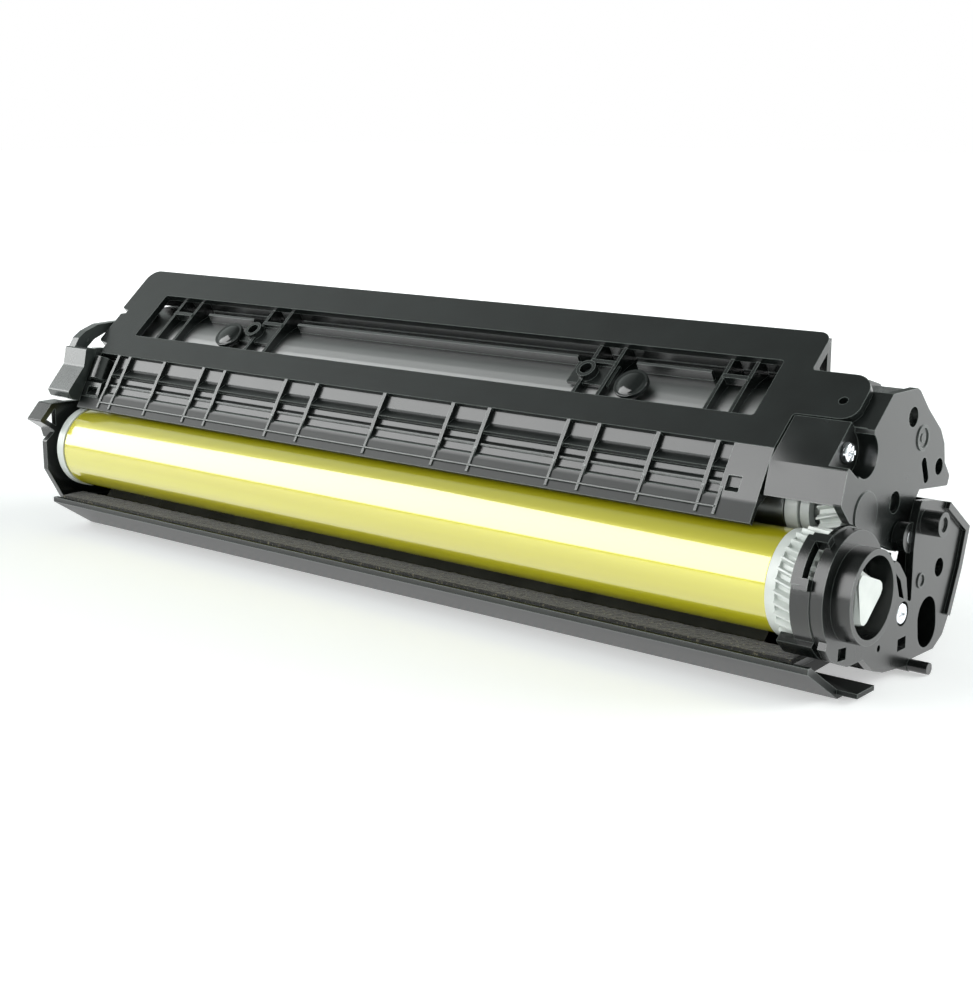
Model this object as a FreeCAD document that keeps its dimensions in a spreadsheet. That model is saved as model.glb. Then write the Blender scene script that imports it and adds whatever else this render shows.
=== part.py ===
"""Toner cartridge: a two-unit laser cartridge with an exposed drum.

The frame's origin lies on the drum axis at the mouth of the drive collar.
+X points out of the drive end, the drum faces -Y, and +Z is up.
All sizes are millimetres. Profiles are drawn across the part, as (y, z)
pairs, and run along X between two stations.
"""
import math
import os

import FreeCAD, Part
import Sketcher

doc = FreeCAD.newDocument("TonerCartridge")

# Driving sizes

driving = (
    # drum and its flanges
    ("drum_radius", 12.0),
    ("drum_wall", 0.8),
    ("drum_length", 248.0),
    ("rim_height", 0.35),
    ("drive_rim_width", 2.5),
    ("free_rim_width", 3.0),
    ("spigot_length", 9.0),
    ("journal_radius", 7.6),
    ("coupling_radius", 7.4),
    ("coupling_length", 6.0),
    ("axle_radius", 3.0),
    # gears
    ("gear_module", 0.8),
    ("gear_backlash", 0.36),
    ("drum_teeth", 31),
    ("developer_teeth", 17),
    ("idler_teeth", 19),
    ("agitator_teeth", 18),
    ("drum_gear_width", 8.2),
    ("train_width", 6.0),
    ("helix_angle", 16.0),
    # drive end of the drum unit
    ("collar_radius", 10.8),
    ("collar_bore", 9.4),
    ("collar_length", 4.7),
    ("plate_wall", 2.0),
    ("web_wall", 2.3),
    ("barrel_wall", 0.8),
    ("barrel_depth", 7.8),
    ("guide_boss_radius", 3.0),
    ("guide_boss_length", 4.7),
    ("hinge_radius", 1.5),
    ("locating_radius", 1.45),
    ("locating_reach", 5.0),
    # free end of the drum unit
    ("free_boss_radius", 5.0),
    ("free_boss_length", 4.0),
    # waste bin
    ("bin_wall", 1.8),
    ("floor_drop", 25.5),
    ("felt_thickness", 1.2),
    # charge roller
    ("charge_radius", 4.5),
    ("charge_shaft_radius", 3.0),
    ("charge_angle", -32.0),
    # developer roller
    ("developer_angle", 51.8),
    ("developer_radius", 6.9),
    ("sleeve_wall", 0.7),
    ("developer_journal", 4.0),
    ("core_shaft_radius", 2.0),
    # hopper, its cover and its end caps
    ("hopper_wall", 1.8),
    ("cap_setback", 4.3),
    ("cap_wall", 2.0),
    ("cap_depth", 13.0),
    ("cap_wrap", 19.5),
    ("cover_wall", 2.0),
    ("cover_slope", 40.0),
    ("rib_wall", 1.1),
    ("agitator_shaft_radius", 2.5),
    ("idler_stud_radius", 2.0),
    # clearances
    ("running_gap", 0.06),
    ("side_gap", 0.3),
    ("contact_gap", 0.12),
    ("press_gap", 0.02),
)

sheet = doc.addObject("Spreadsheet::Sheet", "Sizes")
for row, (alias, value) in enumerate(driving, 1):
    sheet.set("A%d" % row, alias)
    sheet.set("B%d" % row, str(value))
    sheet.setAlias("B%d" % row, alias)
doc.recompute()


class Size:
    """A length that knows the formula tying it to the sheet."""

    def __init__(self, number, formula):
        self.number = number
        self.formula = formula

    def __float__(self):
        return float(self.number)

    def joined(self, sign, other, number):
        other_formula = other.formula if isinstance(other, Size) else "%.6g" % other
        return Size(number, "(%s %s %s)" % (self.formula, sign, other_formula))

    def __add__(self, other):
        return self.joined("+", other, self.number + float(other))

    def __radd__(self, other):
        return self + other

    def __sub__(self, other):
        return self.joined("-", other, self.number - float(other))

    def __rsub__(self, other):
        return -self + other

    def __mul__(self, other):
        return self.joined("*", other, self.number * float(other))

    def __neg__(self):
        return Size(-self.number, "(0 - %s)" % self.formula)


class Named:
    """The driving sizes by name."""


size = Named()
for alias, value in driving:
    setattr(size, alias, Size(float(sheet.get(alias)), "Sizes." + alias))


def bind(thing, prop, value):
    """Tie a property to the sheet when its value comes from there."""
    if isinstance(value, Size):
        thing.setExpression(prop, value.formula)


# Stations along the drum axis, from the drive end to the free end

mouth = size.collar_length - size.collar_length
plate_face = -size.collar_length
plate_back = plate_face - size.plate_wall
web_back = plate_back - size.web_wall
gear_right = web_back - size.side_gap
gear_left = gear_right - size.drum_gear_width
drum_right = gear_left - size.drive_rim_width
drum_left = drum_right - size.drum_length
free_rim_left = drum_left - size.free_rim_width
free_plate_face = free_rim_left - 3.0
free_plate_back = free_plate_face - size.plate_wall
cap_face = plate_face - size.cap_setback
cap_back = cap_face - size.cap_wall
hopper_right = cap_face - size.cap_depth
hopper_left = drum_left
train_right = cap_back - size.side_gap
train_left = train_right - size.train_width
wrap_left = cap_face - size.cap_wrap
cover_right = wrap_left - 0.5
cover_left = drum_left - 2.5

# Profile geometry


def vector(y, z, x=0.0):
    return FreeCAD.Vector(float(x), float(y), float(z))


def corners_to_edges(points):
    """Closed outline from (y, z) or (y, z, corner radius) points, drawn in the sketch plane."""
    spots = [FreeCAD.Vector(float(p[0]), float(p[1]), 0) for p in points]
    radii = [float(p[2]) if len(p) > 2 else 0.0 for p in points]
    count = len(spots)
    entries, exits, arcs = [], [], []
    for i, spot in enumerate(spots):
        before = (spots[i - 1] - spot).normalize()
        after = (spots[(i + 1) % count] - spot).normalize()
        if radii[i] == 0.0:
            entries.append(spot)
            exits.append(spot)
            arcs.append(None)
            continue
        half = before.getAngle(after) / 2
        reach = radii[i] / math.tan(half)
        centre = spot + (before + after).normalize() * (radii[i] / math.sin(half))
        middle = centre + (spot - centre).normalize() * radii[i]
        entries.append(spot + before * reach)
        exits.append(spot + after * reach)
        arcs.append(Part.Arc(entries[-1], middle, exits[-1]))
    edges = []
    for i in range(count):
        if arcs[i]:
            edges.append(arcs[i])
        start, end = exits[i], entries[(i + 1) % count]
        if start.distanceToPoint(end) > 1e-6:
            edges.append(Part.LineSegment(start, end))
    return edges


def ring(y, z, radius):
    return [Part.Circle(FreeCAD.Vector(float(y), float(z), 0), FreeCAD.Vector(0, 0, 1), float(radius))]


def strip(points, wall):
    """A wall that follows a line of (y, z) points, with its thickness on the left of the line."""
    wall = float(wall)
    line = [(float(y), float(z)) for y, z in points]
    normals = []
    for (y0, z0), (y1, z1) in zip(line, line[1:]):
        run = math.hypot(y1 - y0, z1 - z0)
        normals.append((-(z1 - z0) / run, (y1 - y0) / run))
    far_side = []
    for i, (y, z) in enumerate(line):
        first = normals[max(i - 1, 0)]
        second = normals[min(i, len(normals) - 1)]
        share = 1 + first[0] * second[0] + first[1] * second[1]
        far_side.append((y + wall * (first[0] + second[0]) / share, z + wall * (first[1] + second[1]) / share))
    return line + far_side[::-1]


def slot(y, z, radius, reach, angle):
    """A slot with round ends: its two centres lie reach apart along angle."""
    radius = float(radius)
    turn = math.radians(angle)
    along = (math.cos(turn) * reach / 2, math.sin(turn) * reach / 2)
    side = (-math.sin(turn) * radius, math.cos(turn) * radius)
    points = []
    for end, flip in ((1, -1), (1, 1), (-1, 1), (-1, -1)):
        points.append((y + end * along[0] + flip * side[0], z + end * along[1] + flip * side[1]))
    far = FreeCAD.Vector(y + along[0] * (1 + 2 * radius / reach), z + along[1] * (1 + 2 * radius / reach), 0)
    near = FreeCAD.Vector(y - along[0] * (1 + 2 * radius / reach), z - along[1] * (1 + 2 * radius / reach), 0)
    a, b, c, d = [FreeCAD.Vector(p[0], p[1], 0) for p in points]
    return [Part.Arc(a, far, b), Part.LineSegment(b, c), Part.Arc(c, near, d), Part.LineSegment(d, a)]


def on_circle(radius, degrees, y=0.0, z=0.0):
    turn = math.radians(float(degrees))
    return float(y) + float(radius) * math.cos(turn), float(z) + float(radius) * math.sin(turn)


# Ways of making a piece


class Moulding:
    """A piece made of profiles that run along X: pads add material, cuts take it away."""

    plane = "YZ_Plane"

    def __init__(self, name):
        self.name = name
        self.body = doc.addObject("PartDesign::Body", name)
        self.body.Label = name
        self.body.AllowCompound = True
        self.origin_plane = [f for f in self.body.Origin.OriginFeatures if f.Role == self.plane][0]
        self.steps = 0

    def place(self, drawing, start):
        drawing.AttachmentOffset = FreeCAD.Placement(FreeCAD.Vector(0, 0, float(start)), FreeCAD.Rotation())
        bind(drawing, "AttachmentOffset.Base.z", start)

    def sketch(self, edges, start):
        self.steps += 1
        drawing = self.body.newObject("Sketcher::SketchObject", "%s_profile_%d" % (self.name, self.steps))
        drawing.AttachmentSupport = [(self.origin_plane, "")]
        drawing.MapMode = "FlatFace"
        self.place(drawing, start)
        drawing.addGeometry(edges, False)
        return drawing

    def run(self, kind, outline, start, end):
        edges = corners_to_edges(outline) if isinstance(outline[0], tuple) else outline
        drawing = self.sketch(edges, start if kind == "Pad" else end)
        feature = self.body.newObject("PartDesign::" + kind, "%s_%s_%d" % (self.name, kind.lower(), self.steps))
        feature.Profile = drawing
        length = end - start
        feature.Length = float(length)
        bind(feature, "Length", length)
        feature.Refine = True
        return self

    def pad(self, outline, start, end):
        return self.run("Pad", outline, start, end)

    def cut(self, outline, start, end):
        return self.run("Pocket", outline, start, end)


def moulded(name, outline, start, end):
    """A piece that is one profile run along X."""
    return Moulding(name).pad(outline, start, end).body


def turned(name, steps, y=0.0, z=0.0, bores=()):
    """A round piece about an axis along X, from (start, end, radius) steps and bores."""
    pieces = []
    for group in (steps, bores):
        for start, end, radius in group:
            bar = doc.addObject("Part::Cylinder", "%s_step" % name)
            bar.Radius = float(radius)
            bar.Height = float(end) - float(start)
            bar.Placement = FreeCAD.Placement(vector(y, z, start), FreeCAD.Rotation(FreeCAD.Vector(0, 1, 0), 90))
            bind(bar, "Radius", radius)
            bind(bar, "Height", end - start)
            bind(bar, "Placement.Base.x", start)
            pieces.append(bar)
    solid = pieces[0]
    if len(steps) > 1:
        solid = doc.addObject("Part::MultiFuse", "%s_steps" % name)
        solid.Shapes = pieces[:len(steps)]
        solid.Refine = True
    for bar in pieces[len(steps):]:
        bored = doc.addObject("Part::Cut", "%s_bored" % name)
        bored.Base = solid
        bored.Tool = bar
        solid = bored
    solid.Label = name
    return solid


def fused(name, *things):
    whole = doc.addObject("Part::MultiFuse", name + "_whole")
    whole.Shapes = list(things)
    whole.Refine = True
    whole.Label = name
    return whole


def trimmed(name, thing, *tools):
    """The piece with tools cut out of it."""
    for tool in tools:
        left = doc.addObject("Part::Cut", name + "_trimmed")
        left.Base = thing
        left.Tool = tool
        thing = left
    thing.Label = name
    return thing


def bar_between(name, start, end, radius):
    """A round bar from one point to another, for bosses and holes that stand off square to a slope."""
    bar = doc.addObject("Part::Cylinder", name)
    bar.Radius = float(radius)
    bar.Height = (end - start).Length
    bar.Placement = FreeCAD.Placement(start, FreeCAD.Rotation(FreeCAD.Vector(0, 0, 1), end - start))
    bind(bar, "Radius", radius)
    return bar


def drilled(name, holes):
    """Take holes out of a piece that is already there."""
    piece = doc.getObjectsByLabel(name)[0]
    piece.Label = name + "_undrilled"
    trimmed(name, piece, *holes)


def stacked(name, rings):
    """A solid with flat facets through a stack of point rings."""
    faces = [Part.Face(Part.makePolygon(r + r[:1])) for r in (rings[0], rings[-1])]
    for low, high in zip(rings, rings[1:]):
        for i, spot in enumerate(low):
            after = (i + 1) % len(low)
            for three in ((spot, low[after], high[after]), (spot, high[after], high[i])):
                faces.append(Part.Face(Part.makePolygon(list(three) + [three[0]])))
    shell = Part.Compound(faces)
    shell.sewShape()
    solid = Part.makeSolid(Part.Shell(shell.Faces))
    feature = doc.addObject("Part::Feature", name)
    feature.Shape = solid
    return feature


# Gears: helical teeth as straight flanks inside the involute, in a stack of turned rings


def pitch_radius(teeth):
    return float(size.gear_module) * float(teeth) / 2


def involute(angle):
    return math.tan(angle) - angle


def tooth_ring(teeth, first_tooth, x, y, z):
    """Points round a gear at one station. first_tooth is the angle of one tooth's middle."""
    module = float(size.gear_module)
    pressure = math.radians(20)
    pitch = pitch_radius(teeth)
    base = pitch * math.cos(pressure)
    half_at_pitch = (math.pi * module / 2 - float(size.gear_backlash) / 2) / 2 / pitch
    points = []
    for tooth in range(int(float(teeth))):
        middle = math.radians(first_tooth) + tooth * 2 * math.pi / float(teeth)
        flank = []
        for radius in (pitch - 1.2 * module, pitch, pitch + 0.95 * module):
            inner = math.acos(min(1.0, base / radius))
            flank.append((radius, half_at_pitch + involute(pressure) - involute(inner)))
        for radius, half in flank:
            points.append(vector(*on_circle(radius, math.degrees(middle - half), y, z), x))
        for radius, half in reversed(flank):
            points.append(vector(*on_circle(radius, math.degrees(middle + half), y, z), x))
    return points


def helical_gear(name, teeth, first_tooth, start, end, y, z, hand):
    """hand is 1 or -1. first_tooth holds at the drum gear's right face, so that gears in mesh agree."""
    layers = 3
    start, end = float(start), float(end)
    twist = math.degrees(math.tan(math.radians(float(size.helix_angle))) / pitch_radius(teeth))
    rings = []
    for layer in range(layers):
        x = start + (end - start) * layer / (layers - 1)
        turn = first_tooth + hand * twist * (x - float(gear_right))
        rings.append(tooth_ring(teeth, turn, x, y, z))
    return stacked(name, rings)


# Where the gears stand: each meshes with the one before it

developer_distance = pitch_radius(size.drum_teeth) + pitch_radius(size.developer_teeth)
developer_y, developer_z = on_circle(developer_distance, size.developer_angle)
agitator_y, agitator_z = developer_y + 22.7, developer_z + 12.5
reach_in = pitch_radius(size.developer_teeth) + pitch_radius(size.idler_teeth)
reach_out = pitch_radius(size.idler_teeth) + pitch_radius(size.agitator_teeth)
span = math.hypot(agitator_y - developer_y, agitator_z - developer_z)
span_angle = math.degrees(math.atan2(agitator_z - developer_z, agitator_y - developer_y))
corner = math.degrees(math.acos((reach_in ** 2 + span ** 2 - reach_out ** 2) / (2 * reach_in * span)))
idler_y, idler_z = on_circle(reach_in, span_angle - corner, developer_y, developer_z)


def meshed(teeth, driver_teeth, driver_tooth, line_angle):
    """First-tooth angle of a gear that meshes with its driver along line_angle."""
    driver_step = 360 / float(driver_teeth)
    offset = ((line_angle - driver_tooth) % driver_step) / driver_step
    return line_angle + 180 + (offset + 0.5) * 360 / float(teeth)


drum_tooth = 0.0
line_one = float(size.developer_angle)
developer_tooth = meshed(size.developer_teeth, size.drum_teeth, drum_tooth, line_one)
line_two = span_angle - corner
idler_tooth = meshed(size.idler_teeth, size.developer_teeth, developer_tooth, line_two)
line_three = math.degrees(math.atan2(agitator_z - idler_z, agitator_y - idler_y))
agitator_tooth = meshed(size.agitator_teeth, size.idler_teeth, idler_tooth, line_three)

# The drum: coated tube, drive flange with gear and twisted coupling, free flange

drum_bore = size.drum_radius - size.drum_wall
drum_rim = size.drum_radius + size.rim_height
spigot_radius = drum_bore - size.press_gap
drum_tip = size.gear_module * size.drum_teeth * 0.5 + size.gear_module * 0.95


def coupling_ring(x, turn, radius):
    """A rounded triangle, the section of the twisted drive coupling."""
    rounding = 0.3 * radius
    points = []
    for side in range(3):
        middle = turn + side * 120
        heart = on_circle(radius - rounding, middle)
        for sweep in (-60, -20, 20, 60):
            points.append(vector(*on_circle(rounding, middle + sweep, *heart), x))
    return points


def make_drum():
    turned("drum_tube", [(drum_left, drum_right, size.drum_radius)], bores=[(drum_left, drum_right, drum_bore)])

    spigot_end = drum_right - size.spigot_length
    journal_end = plate_back - 0.5
    body = turned("drive_flange_body",
                  [(spigot_end, drum_right, spigot_radius), (drum_right, gear_left, drum_rim),
                   (gear_right, journal_end, size.journal_radius)],
                  bores=[(spigot_end, drum_right, spigot_radius - 2.5)])
    gear = helical_gear("drum_gear_teeth", size.drum_teeth, drum_tooth, gear_left, gear_right, 0, 0, 1)
    rings = []
    layers = 6
    for layer in range(layers + 1):
        share = layer / layers
        x = float(journal_end) + share * float(size.coupling_length)
        taper = 1 - 0.12 * share ** 3
        rings.append(coupling_ring(x, 75 + 55 * share, float(size.coupling_radius) * taper))
    prism = stacked("drive_coupling", rings)
    fused("drive_flange", body, gear, prism)

    hub_end = free_plate_face + size.side_gap
    inner_end = drum_left + size.spigot_length
    turned("free_flange",
           [(hub_end, free_rim_left, size.free_boss_radius), (free_rim_left, drum_left, drum_rim),
            (drum_left, inner_end, spigot_radius)],
           bores=[(hub_end, inner_end, size.axle_radius + size.running_gap)])
    turned("drum_axle", [(free_plate_back - 2.0, inner_end - 1.0, size.axle_radius)])


# The drum unit's drive end: side plate, gear barrel, collar, guide boss

hinge_y, hinge_z = 28.5, 7.0
drive_screw = (24.5, -10.2)
locating_spot = (29.6, -23.8)
guide_spot = (33.9, 9.9)
screw_shank, screw_head = 1.45, 2.7
screw_hole = 1.5
barrel_inner = drum_tip + size.side_gap
barrel_outer = barrel_inner + size.barrel_wall
barrel_left = plate_face - size.barrel_depth
bin_left = free_plate_face
bin_right = drum_right

drive_plate = [
    (8.0, 8.0), (17.5, 1.5), (20.4, -1.0), (22.2, -5.6, 0.6), (28.6, -8.2, 0.6), (28.5, 4.4), (29.2, 9.6), (31.3, 15.3, 1.0),
    (37.7, 14.5), (45.1, 12.8, 1.0), (56.7, 4.8, 1.5), (53.5, -5.0), (47.9, -14.0), (49.6, -16.2), (46.7, -20.4, 1.5),
    (41.9, -22.9, 1.0), (31.1, -22.6), (27.8, -23.7, 1.0), (15.8, -22.2, 1.0), (10.7, -20.6, 1.0), (5.8, -16.6, 2.0),
    (-1.7, -16.4, 1.0), (-9.3, -13.3, 1.0), (-12.0, -10.2), (-8.0, 0.0),
]
drive_skirt = [(10.7, -20.6), (15.8, -22.2), (27.8, -23.7), (31.1, -22.6), (41.9, -22.9), (46.7, -20.4),
               (48.4, -16.0), (53.5, -5.0), (56.7, 4.8), (45.1, 12.8)]


open_top = (20, 112)
arm_high, arm_low = (117, 126), (158, 168)


def arc_band(inner, outer, first, last, steps=12):
    """A band between two radii round the drum axis, from one angle to another."""
    angles = [first + (last - first) * i / steps for i in range(steps + 1)]
    return [on_circle(inner, a) for a in angles] + [on_circle(outer, a) for a in reversed(angles)]


def make_drive_bracket():
    skirt = float(size.plate_wall) * 0.8
    part = Moulding("drive_end_bracket")
    seam = barrel_left + 4.7
    arm_outer = float(barrel_outer) + 1.9
    part.pad(ring(0, 0, barrel_outer), barrel_left, plate_face)
    part.pad(ring(0, 0, barrel_outer + 0.35), barrel_left, seam)
    part.pad(drive_plate, plate_back, plate_face)
    part.pad(arc_band(barrel_inner, 16.0, 218, 238), barrel_left - 4.0, seam)
    part.cut(ring(0, 0, barrel_inner), barrel_left, web_back)
    part.cut(arc_band(float(barrel_inner) - 3, float(barrel_outer) + 3, *open_top), barrel_left, web_back)
    part.cut(arc_band(float(barrel_inner) - 3, float(barrel_outer) + 3, open_top[1], arm_low[0] + 6), barrel_left, seam)
    part.pad(arc_band(barrel_inner, arm_outer, arm_high[0] + 3, arm_low[1] - 4), barrel_left + 0.5, barrel_left + 3.0)
    part.pad(arc_band(barrel_inner, arm_outer, *arm_high), barrel_left + 1.5, seam + 1.2)
    part.pad(arc_band(barrel_inner, arm_outer, *arm_low), barrel_left + 1.5, seam)
    part.pad(ring(0, 0, size.collar_radius), plate_face, mouth)
    part.cut(ring(0, 0, size.collar_bore), plate_back, mouth)
    part.cut(ring(0, 0, size.journal_radius + size.running_gap), web_back, plate_back)
    part.pad(strip(drive_skirt, skirt), bin_right, plate_back)
    part.pad(strip(drive_skirt[6:], 1.8), plate_face, plate_face + 1.0)
    part.pad(ring(*guide_spot, size.guide_boss_radius), plate_face, plate_face + size.guide_boss_length)
    part.cut(ring(*guide_spot, size.guide_boss_radius - 1.2), plate_face + size.guide_boss_length - 0.5,
             plate_face + size.guide_boss_length)
    part.pad(ring(hinge_y, hinge_z, 3.6), cap_face + size.side_gap, plate_face - 1.0)
    part.cut(ring(hinge_y, hinge_z, size.hinge_radius + size.press_gap), cap_face + size.side_gap, plate_face - 1.0)
    cup_floor = plate_back - 7.0
    part.pad(slot(37.6, -15.2, 5.7, 3.0, 98), cup_floor, plate_back)
    part.cut(slot(37.6, -15.2, 4.8, 3.0, 98), cup_floor + 1.2, plate_face)
    part.cut(ring(42.7, -2.8, 2.3), plate_back, plate_face)
    part.cut(ring(13.2, -15.8, 0.8), plate_back, plate_face)
    part.cut([(22.7, -19.0), (26.9, -19.0), (26.9, -16.0), (22.7, -16.0)], plate_back, plate_face)
    part.cut([(-6.3, -14.0), (-2.6, -14.4), (-2.4, -11.6), (-6.1, -11.2)], plate_face - 1.5, plate_face)
    part.pad(ring(33.0, -4.0, 1.9), plate_face, plate_face + 0.3)
    part.cut(ring(33.0, -4.0, 1.4), plate_face, plate_face + 0.3)
    part.cut(ring(*drive_screw, screw_hole + 0.1), plate_back, plate_face)
    screw_seat = plate_face - 1.2
    part.cut(ring(*drive_screw, screw_head + 0.25), screw_seat, plate_face)
    lever = [(16.5, 2.2), (20.6, 3.2), (22.4, 2.2), (26.3, -2.0), (27.9, -8.8), (25.7, -7.1), (23.4, -2.0), (20.4, 0.6),
             (16.5, 0.4)]
    part.pad(lever, plate_back, plate_face - 0.4)
    part.pad(ring(*locating_spot, size.locating_radius + 0.2), plate_back - 9.0, plate_face)
    part.pad(ring(*locating_spot, size.locating_radius), plate_face, plate_face + size.locating_reach)
    turned("hinge_pin_drive", [(cap_back, plate_face - 1.0, size.hinge_radius)], hinge_y, hinge_z)
    turned("bracket_screw_drive", [(screw_seat, screw_seat + 1.5, screw_head), (bin_right + 3.0, screw_seat, screw_shank)],
           *drive_screw)


# The drum unit's free end

free_plate = [
    (-13.9, -5.9, 1.0), (-8.0, -16.5, 2.0), (-2.0, -21.5, 2.0), (4.0, -23.6), (46.0, -23.6, 2.0), (49.0, -14.0, 2.0),
    (50.0, 0.0, 2.0), (45.0, 10.5, 2.0), (33.0, 12.5, 2.0), (24.0, 13.0, 2.0), (-5.4, 14.4, 0.5), (-10.0, 14.4, 0.5),
    (-10.0, 6.0), (-13.9, 3.0, 1.0),
]
free_screws = [(24.5, -10.2), (40.0, -18.0)]


def make_free_bracket():
    part = Moulding("free_end_bracket")
    part.pad(free_plate, free_plate_back, free_plate_face)
    part.pad(ring(0, 0, size.free_boss_radius), free_plate_back - size.free_boss_length, free_plate_back)
    hook = [(-15.9, 9.5, 0.4), (-11.2, 14.4, 0.8), (-5.4, 14.4), (-5.4, 12.6), (-10.2, 12.6), (-13.4, 9.6), (-9.4, 6.9),
            (-8.6, 3.4), (-10.2, 3.2), (-11.0, 6.1)]
    part.pad(hook, free_plate_back - 4.5, free_plate_face)
    part.pad(ring(hinge_y, hinge_z, 3.6), free_plate_face, free_lug_left - size.side_gap)
    part.cut(ring(hinge_y, hinge_z, size.hinge_radius + size.press_gap), free_plate_back, free_lug_left - size.side_gap)
    part.cut(ring(0, 0, size.axle_radius + size.press_gap), free_plate_back - 2.0, free_plate_face)
    for spot in free_screws:
        part.cut(ring(*spot, screw_hole + 0.1), free_plate_back, free_plate_face)
    turned("hinge_pin_free", [(free_plate_back, hopper_left, size.hinge_radius)], hinge_y, hinge_z)
    screws = []
    for number, spot in enumerate(free_screws, 1):
        screws.append(turned("bracket_screw_free_%d" % number,
                             [(free_plate_back - 1.5, free_plate_back, screw_head),
                              (free_plate_back, bin_left + 6.0, screw_shank)], *spot))
    fused("bracket_screws_free", *screws)


# The waste bin: tray under the drum, chamber behind it, cleaning parts

floor_z = -float(size.floor_drop)
lip_y, lip_z = -12.4, -14.9
seat_z = lip_z - 0.5
seat_back = -0.8
chamber_floor = floor_z + 2.0
chamber_top = -3.0
chamber_rear = 48.5
blade_wall_y = 20.6
tray_foot = [(1.5, floor_z), (6.0, floor_z)]
tray_right = barrel_left + 4.1
leaf_right = barrel_left - 1.0
tower_reach = (13.2, 25.5)
saddle_gap = 0.15


def radial_box(near, far, half_width):
    """A rectangle that points from the drum axis at the charge roller."""
    turn = math.radians(float(size.charge_angle))
    out = (math.cos(turn), math.sin(turn))
    points = []
    for reach, side in ((near, -half_width), (far, -half_width), (far, half_width), (near, half_width)):
        points.append((reach * out[0] - side * out[1], reach * out[1] + side * out[0]))
    return points


charge_distance = float(size.drum_radius) + float(size.charge_radius) + float(size.contact_gap)
charge_y, charge_z = on_circle(charge_distance, size.charge_angle)
saddle_wall = 3.4
rubber_right = drum_right - 6.0
rubber_left = drum_left + 6.0
saddle_half = 4.1
saddle_near, saddle_far = 13.6, 20.6


def make_waste_bin():
    wall = size.bin_wall
    part = Moulding("waste_bin")
    shell = [(lip_y, lip_z - 1.5)] + tray_foot + [
        (8.0, chamber_floor), (chamber_rear - 2.0, chamber_floor), (chamber_rear, chamber_floor + 3.0),
        (chamber_rear, chamber_top), (blade_wall_y, chamber_top), (blade_wall_y, -19.4)]
    part.pad(strip(shell, wall), bin_left, bin_right)
    part.pad(strip(shell[:3], wall), bin_right, tray_right)
    lip = [(lip_y, lip_z - 1.5), (lip_y + 1.0, seat_z - 0.8), (lip_y + 1.4, lip_z), (lip_y, lip_z)]
    part.pad(lip, bin_left, tray_right)
    part.pad([(lip_y + 0.9, seat_z - 1.5), (seat_back, seat_z - 1.5), (seat_back, seat_z), (lip_y + 0.9, seat_z)],
             bin_left, leaf_right)
    end_wall = [(-10.5, -16.0), (1.8, floor_z + 0.8), (47.0, chamber_floor + 0.8), (chamber_rear - 1.0, chamber_top - 1),
                (blade_wall_y + 1, chamber_top - 1), (blade_wall_y + 1, -16.5), (14.0, -17.0), (seat_back, seat_z - 0.2)]
    part.pad(end_wall, bin_left, bin_left + wall)
    part.pad(end_wall, bin_right - wall, bin_right)
    tower = radial_box(*tower_reach, 6.2)
    slot_cut = radial_box(tower_reach[0] - 1, tower_reach[1] - 1.5, saddle_half + saddle_gap)
    part.pad(tower, rubber_right + 0.2, bin_right)
    part.cut(slot_cut, rubber_right + 0.2, bin_right - wall)
    part.pad(tower, drum_left, rubber_left - 0.2)
    part.cut(slot_cut, drum_left + wall, rubber_left - 0.2)
    part.pad(ring(*drive_screw, 3.2), bin_right - wall, plate_back)
    part.cut(ring(*drive_screw, screw_hole), bin_right - wall, plate_back)
    for spot in free_screws:
        part.pad(ring(*spot, 3.2), bin_left, bin_left + 8.0)
        part.cut(ring(*spot, screw_hole), bin_left, bin_left + 7.0)
    foot = [(1.0, floor_z + 1.2), (9.0, floor_z + 1.2), (9.0, floor_z + 2.4), (1.0, floor_z + 2.4)]
    part.pad(foot, bin_right - wall, tray_right + 5.2)
    rib_count = 7
    for number in range(rib_count):
        x = bin_left + 14.0 + (size.drum_length - 26.0) * (number / (rib_count - 1))
        part.pad([(7.0, chamber_floor + 0.5), (9.0, floor_z), (42.0, floor_z), (45.0, chamber_floor + 0.5)], x, x + 1.6)
    film_start = seat_back - 1.9
    felt_start = lip_y + 1.8
    felt = Moulding("felt_strip")
    felt.pad([(felt_start, seat_z), (film_start - 0.1, seat_z), (film_start - 0.1, seat_z + size.felt_thickness),
              (felt_start, seat_z + size.felt_thickness)], bin_left + 2.5, leaf_right)
    film = Moulding("recovery_film")
    tip = on_circle(float(size.drum_radius) + 0.45, -81)
    film.pad(strip([(film_start, seat_z), (seat_back - 0.8, seat_z), tip], 0.25), rubber_left, rubber_right)


def make_cleaning_blade():
    lean = math.radians(-20)
    along = (math.cos(lean), math.sin(lean))
    below = (math.sin(lean), -math.cos(lean))
    edge = on_circle(size.drum_radius + size.contact_gap, -70)
    thickness, reach = 1.6, 8.6
    root = (edge[0] + reach * along[0], edge[1] + reach * along[1])
    blade = Moulding("cleaning_blade")
    blade.pad(strip([root, edge], thickness), rubber_left, rubber_right)
    sheet_wall = 1.2
    start = [edge[i] + (reach - 4.0) * along[i] + (thickness + sheet_wall) * below[i] for i in (0, 1)]
    bend_z = start[1] + (blade_wall_y - start[0]) * math.tan(lean)
    bracket = Moulding("cleaning_blade_bracket")
    bracket.pad(strip([start, (blade_wall_y, bend_z), (blade_wall_y, -5.5)], sheet_wall), rubber_left, rubber_right)
    screws, holes = [], []
    head = 1.3
    for number, x in enumerate((rubber_left + 6.0, rubber_right - 6.0), 1):
        base = vector(blade_wall_y - sheet_wall, -14.0, x)
        outward = FreeCAD.Vector(0, 1, 0)
        screws.append(bar_between("blade_screw_head_%d" % number, base - outward * head, base, 2.4))
        screws.append(bar_between("blade_screw_shank_%d" % number, base, base + outward * 3.0, 1.4))
        holes.append(bar_between("blade_screw_hole_%d" % number, base - outward, base + outward * 4.0, 1.45))
    fused("blade_screws", *screws)
    return holes


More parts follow.
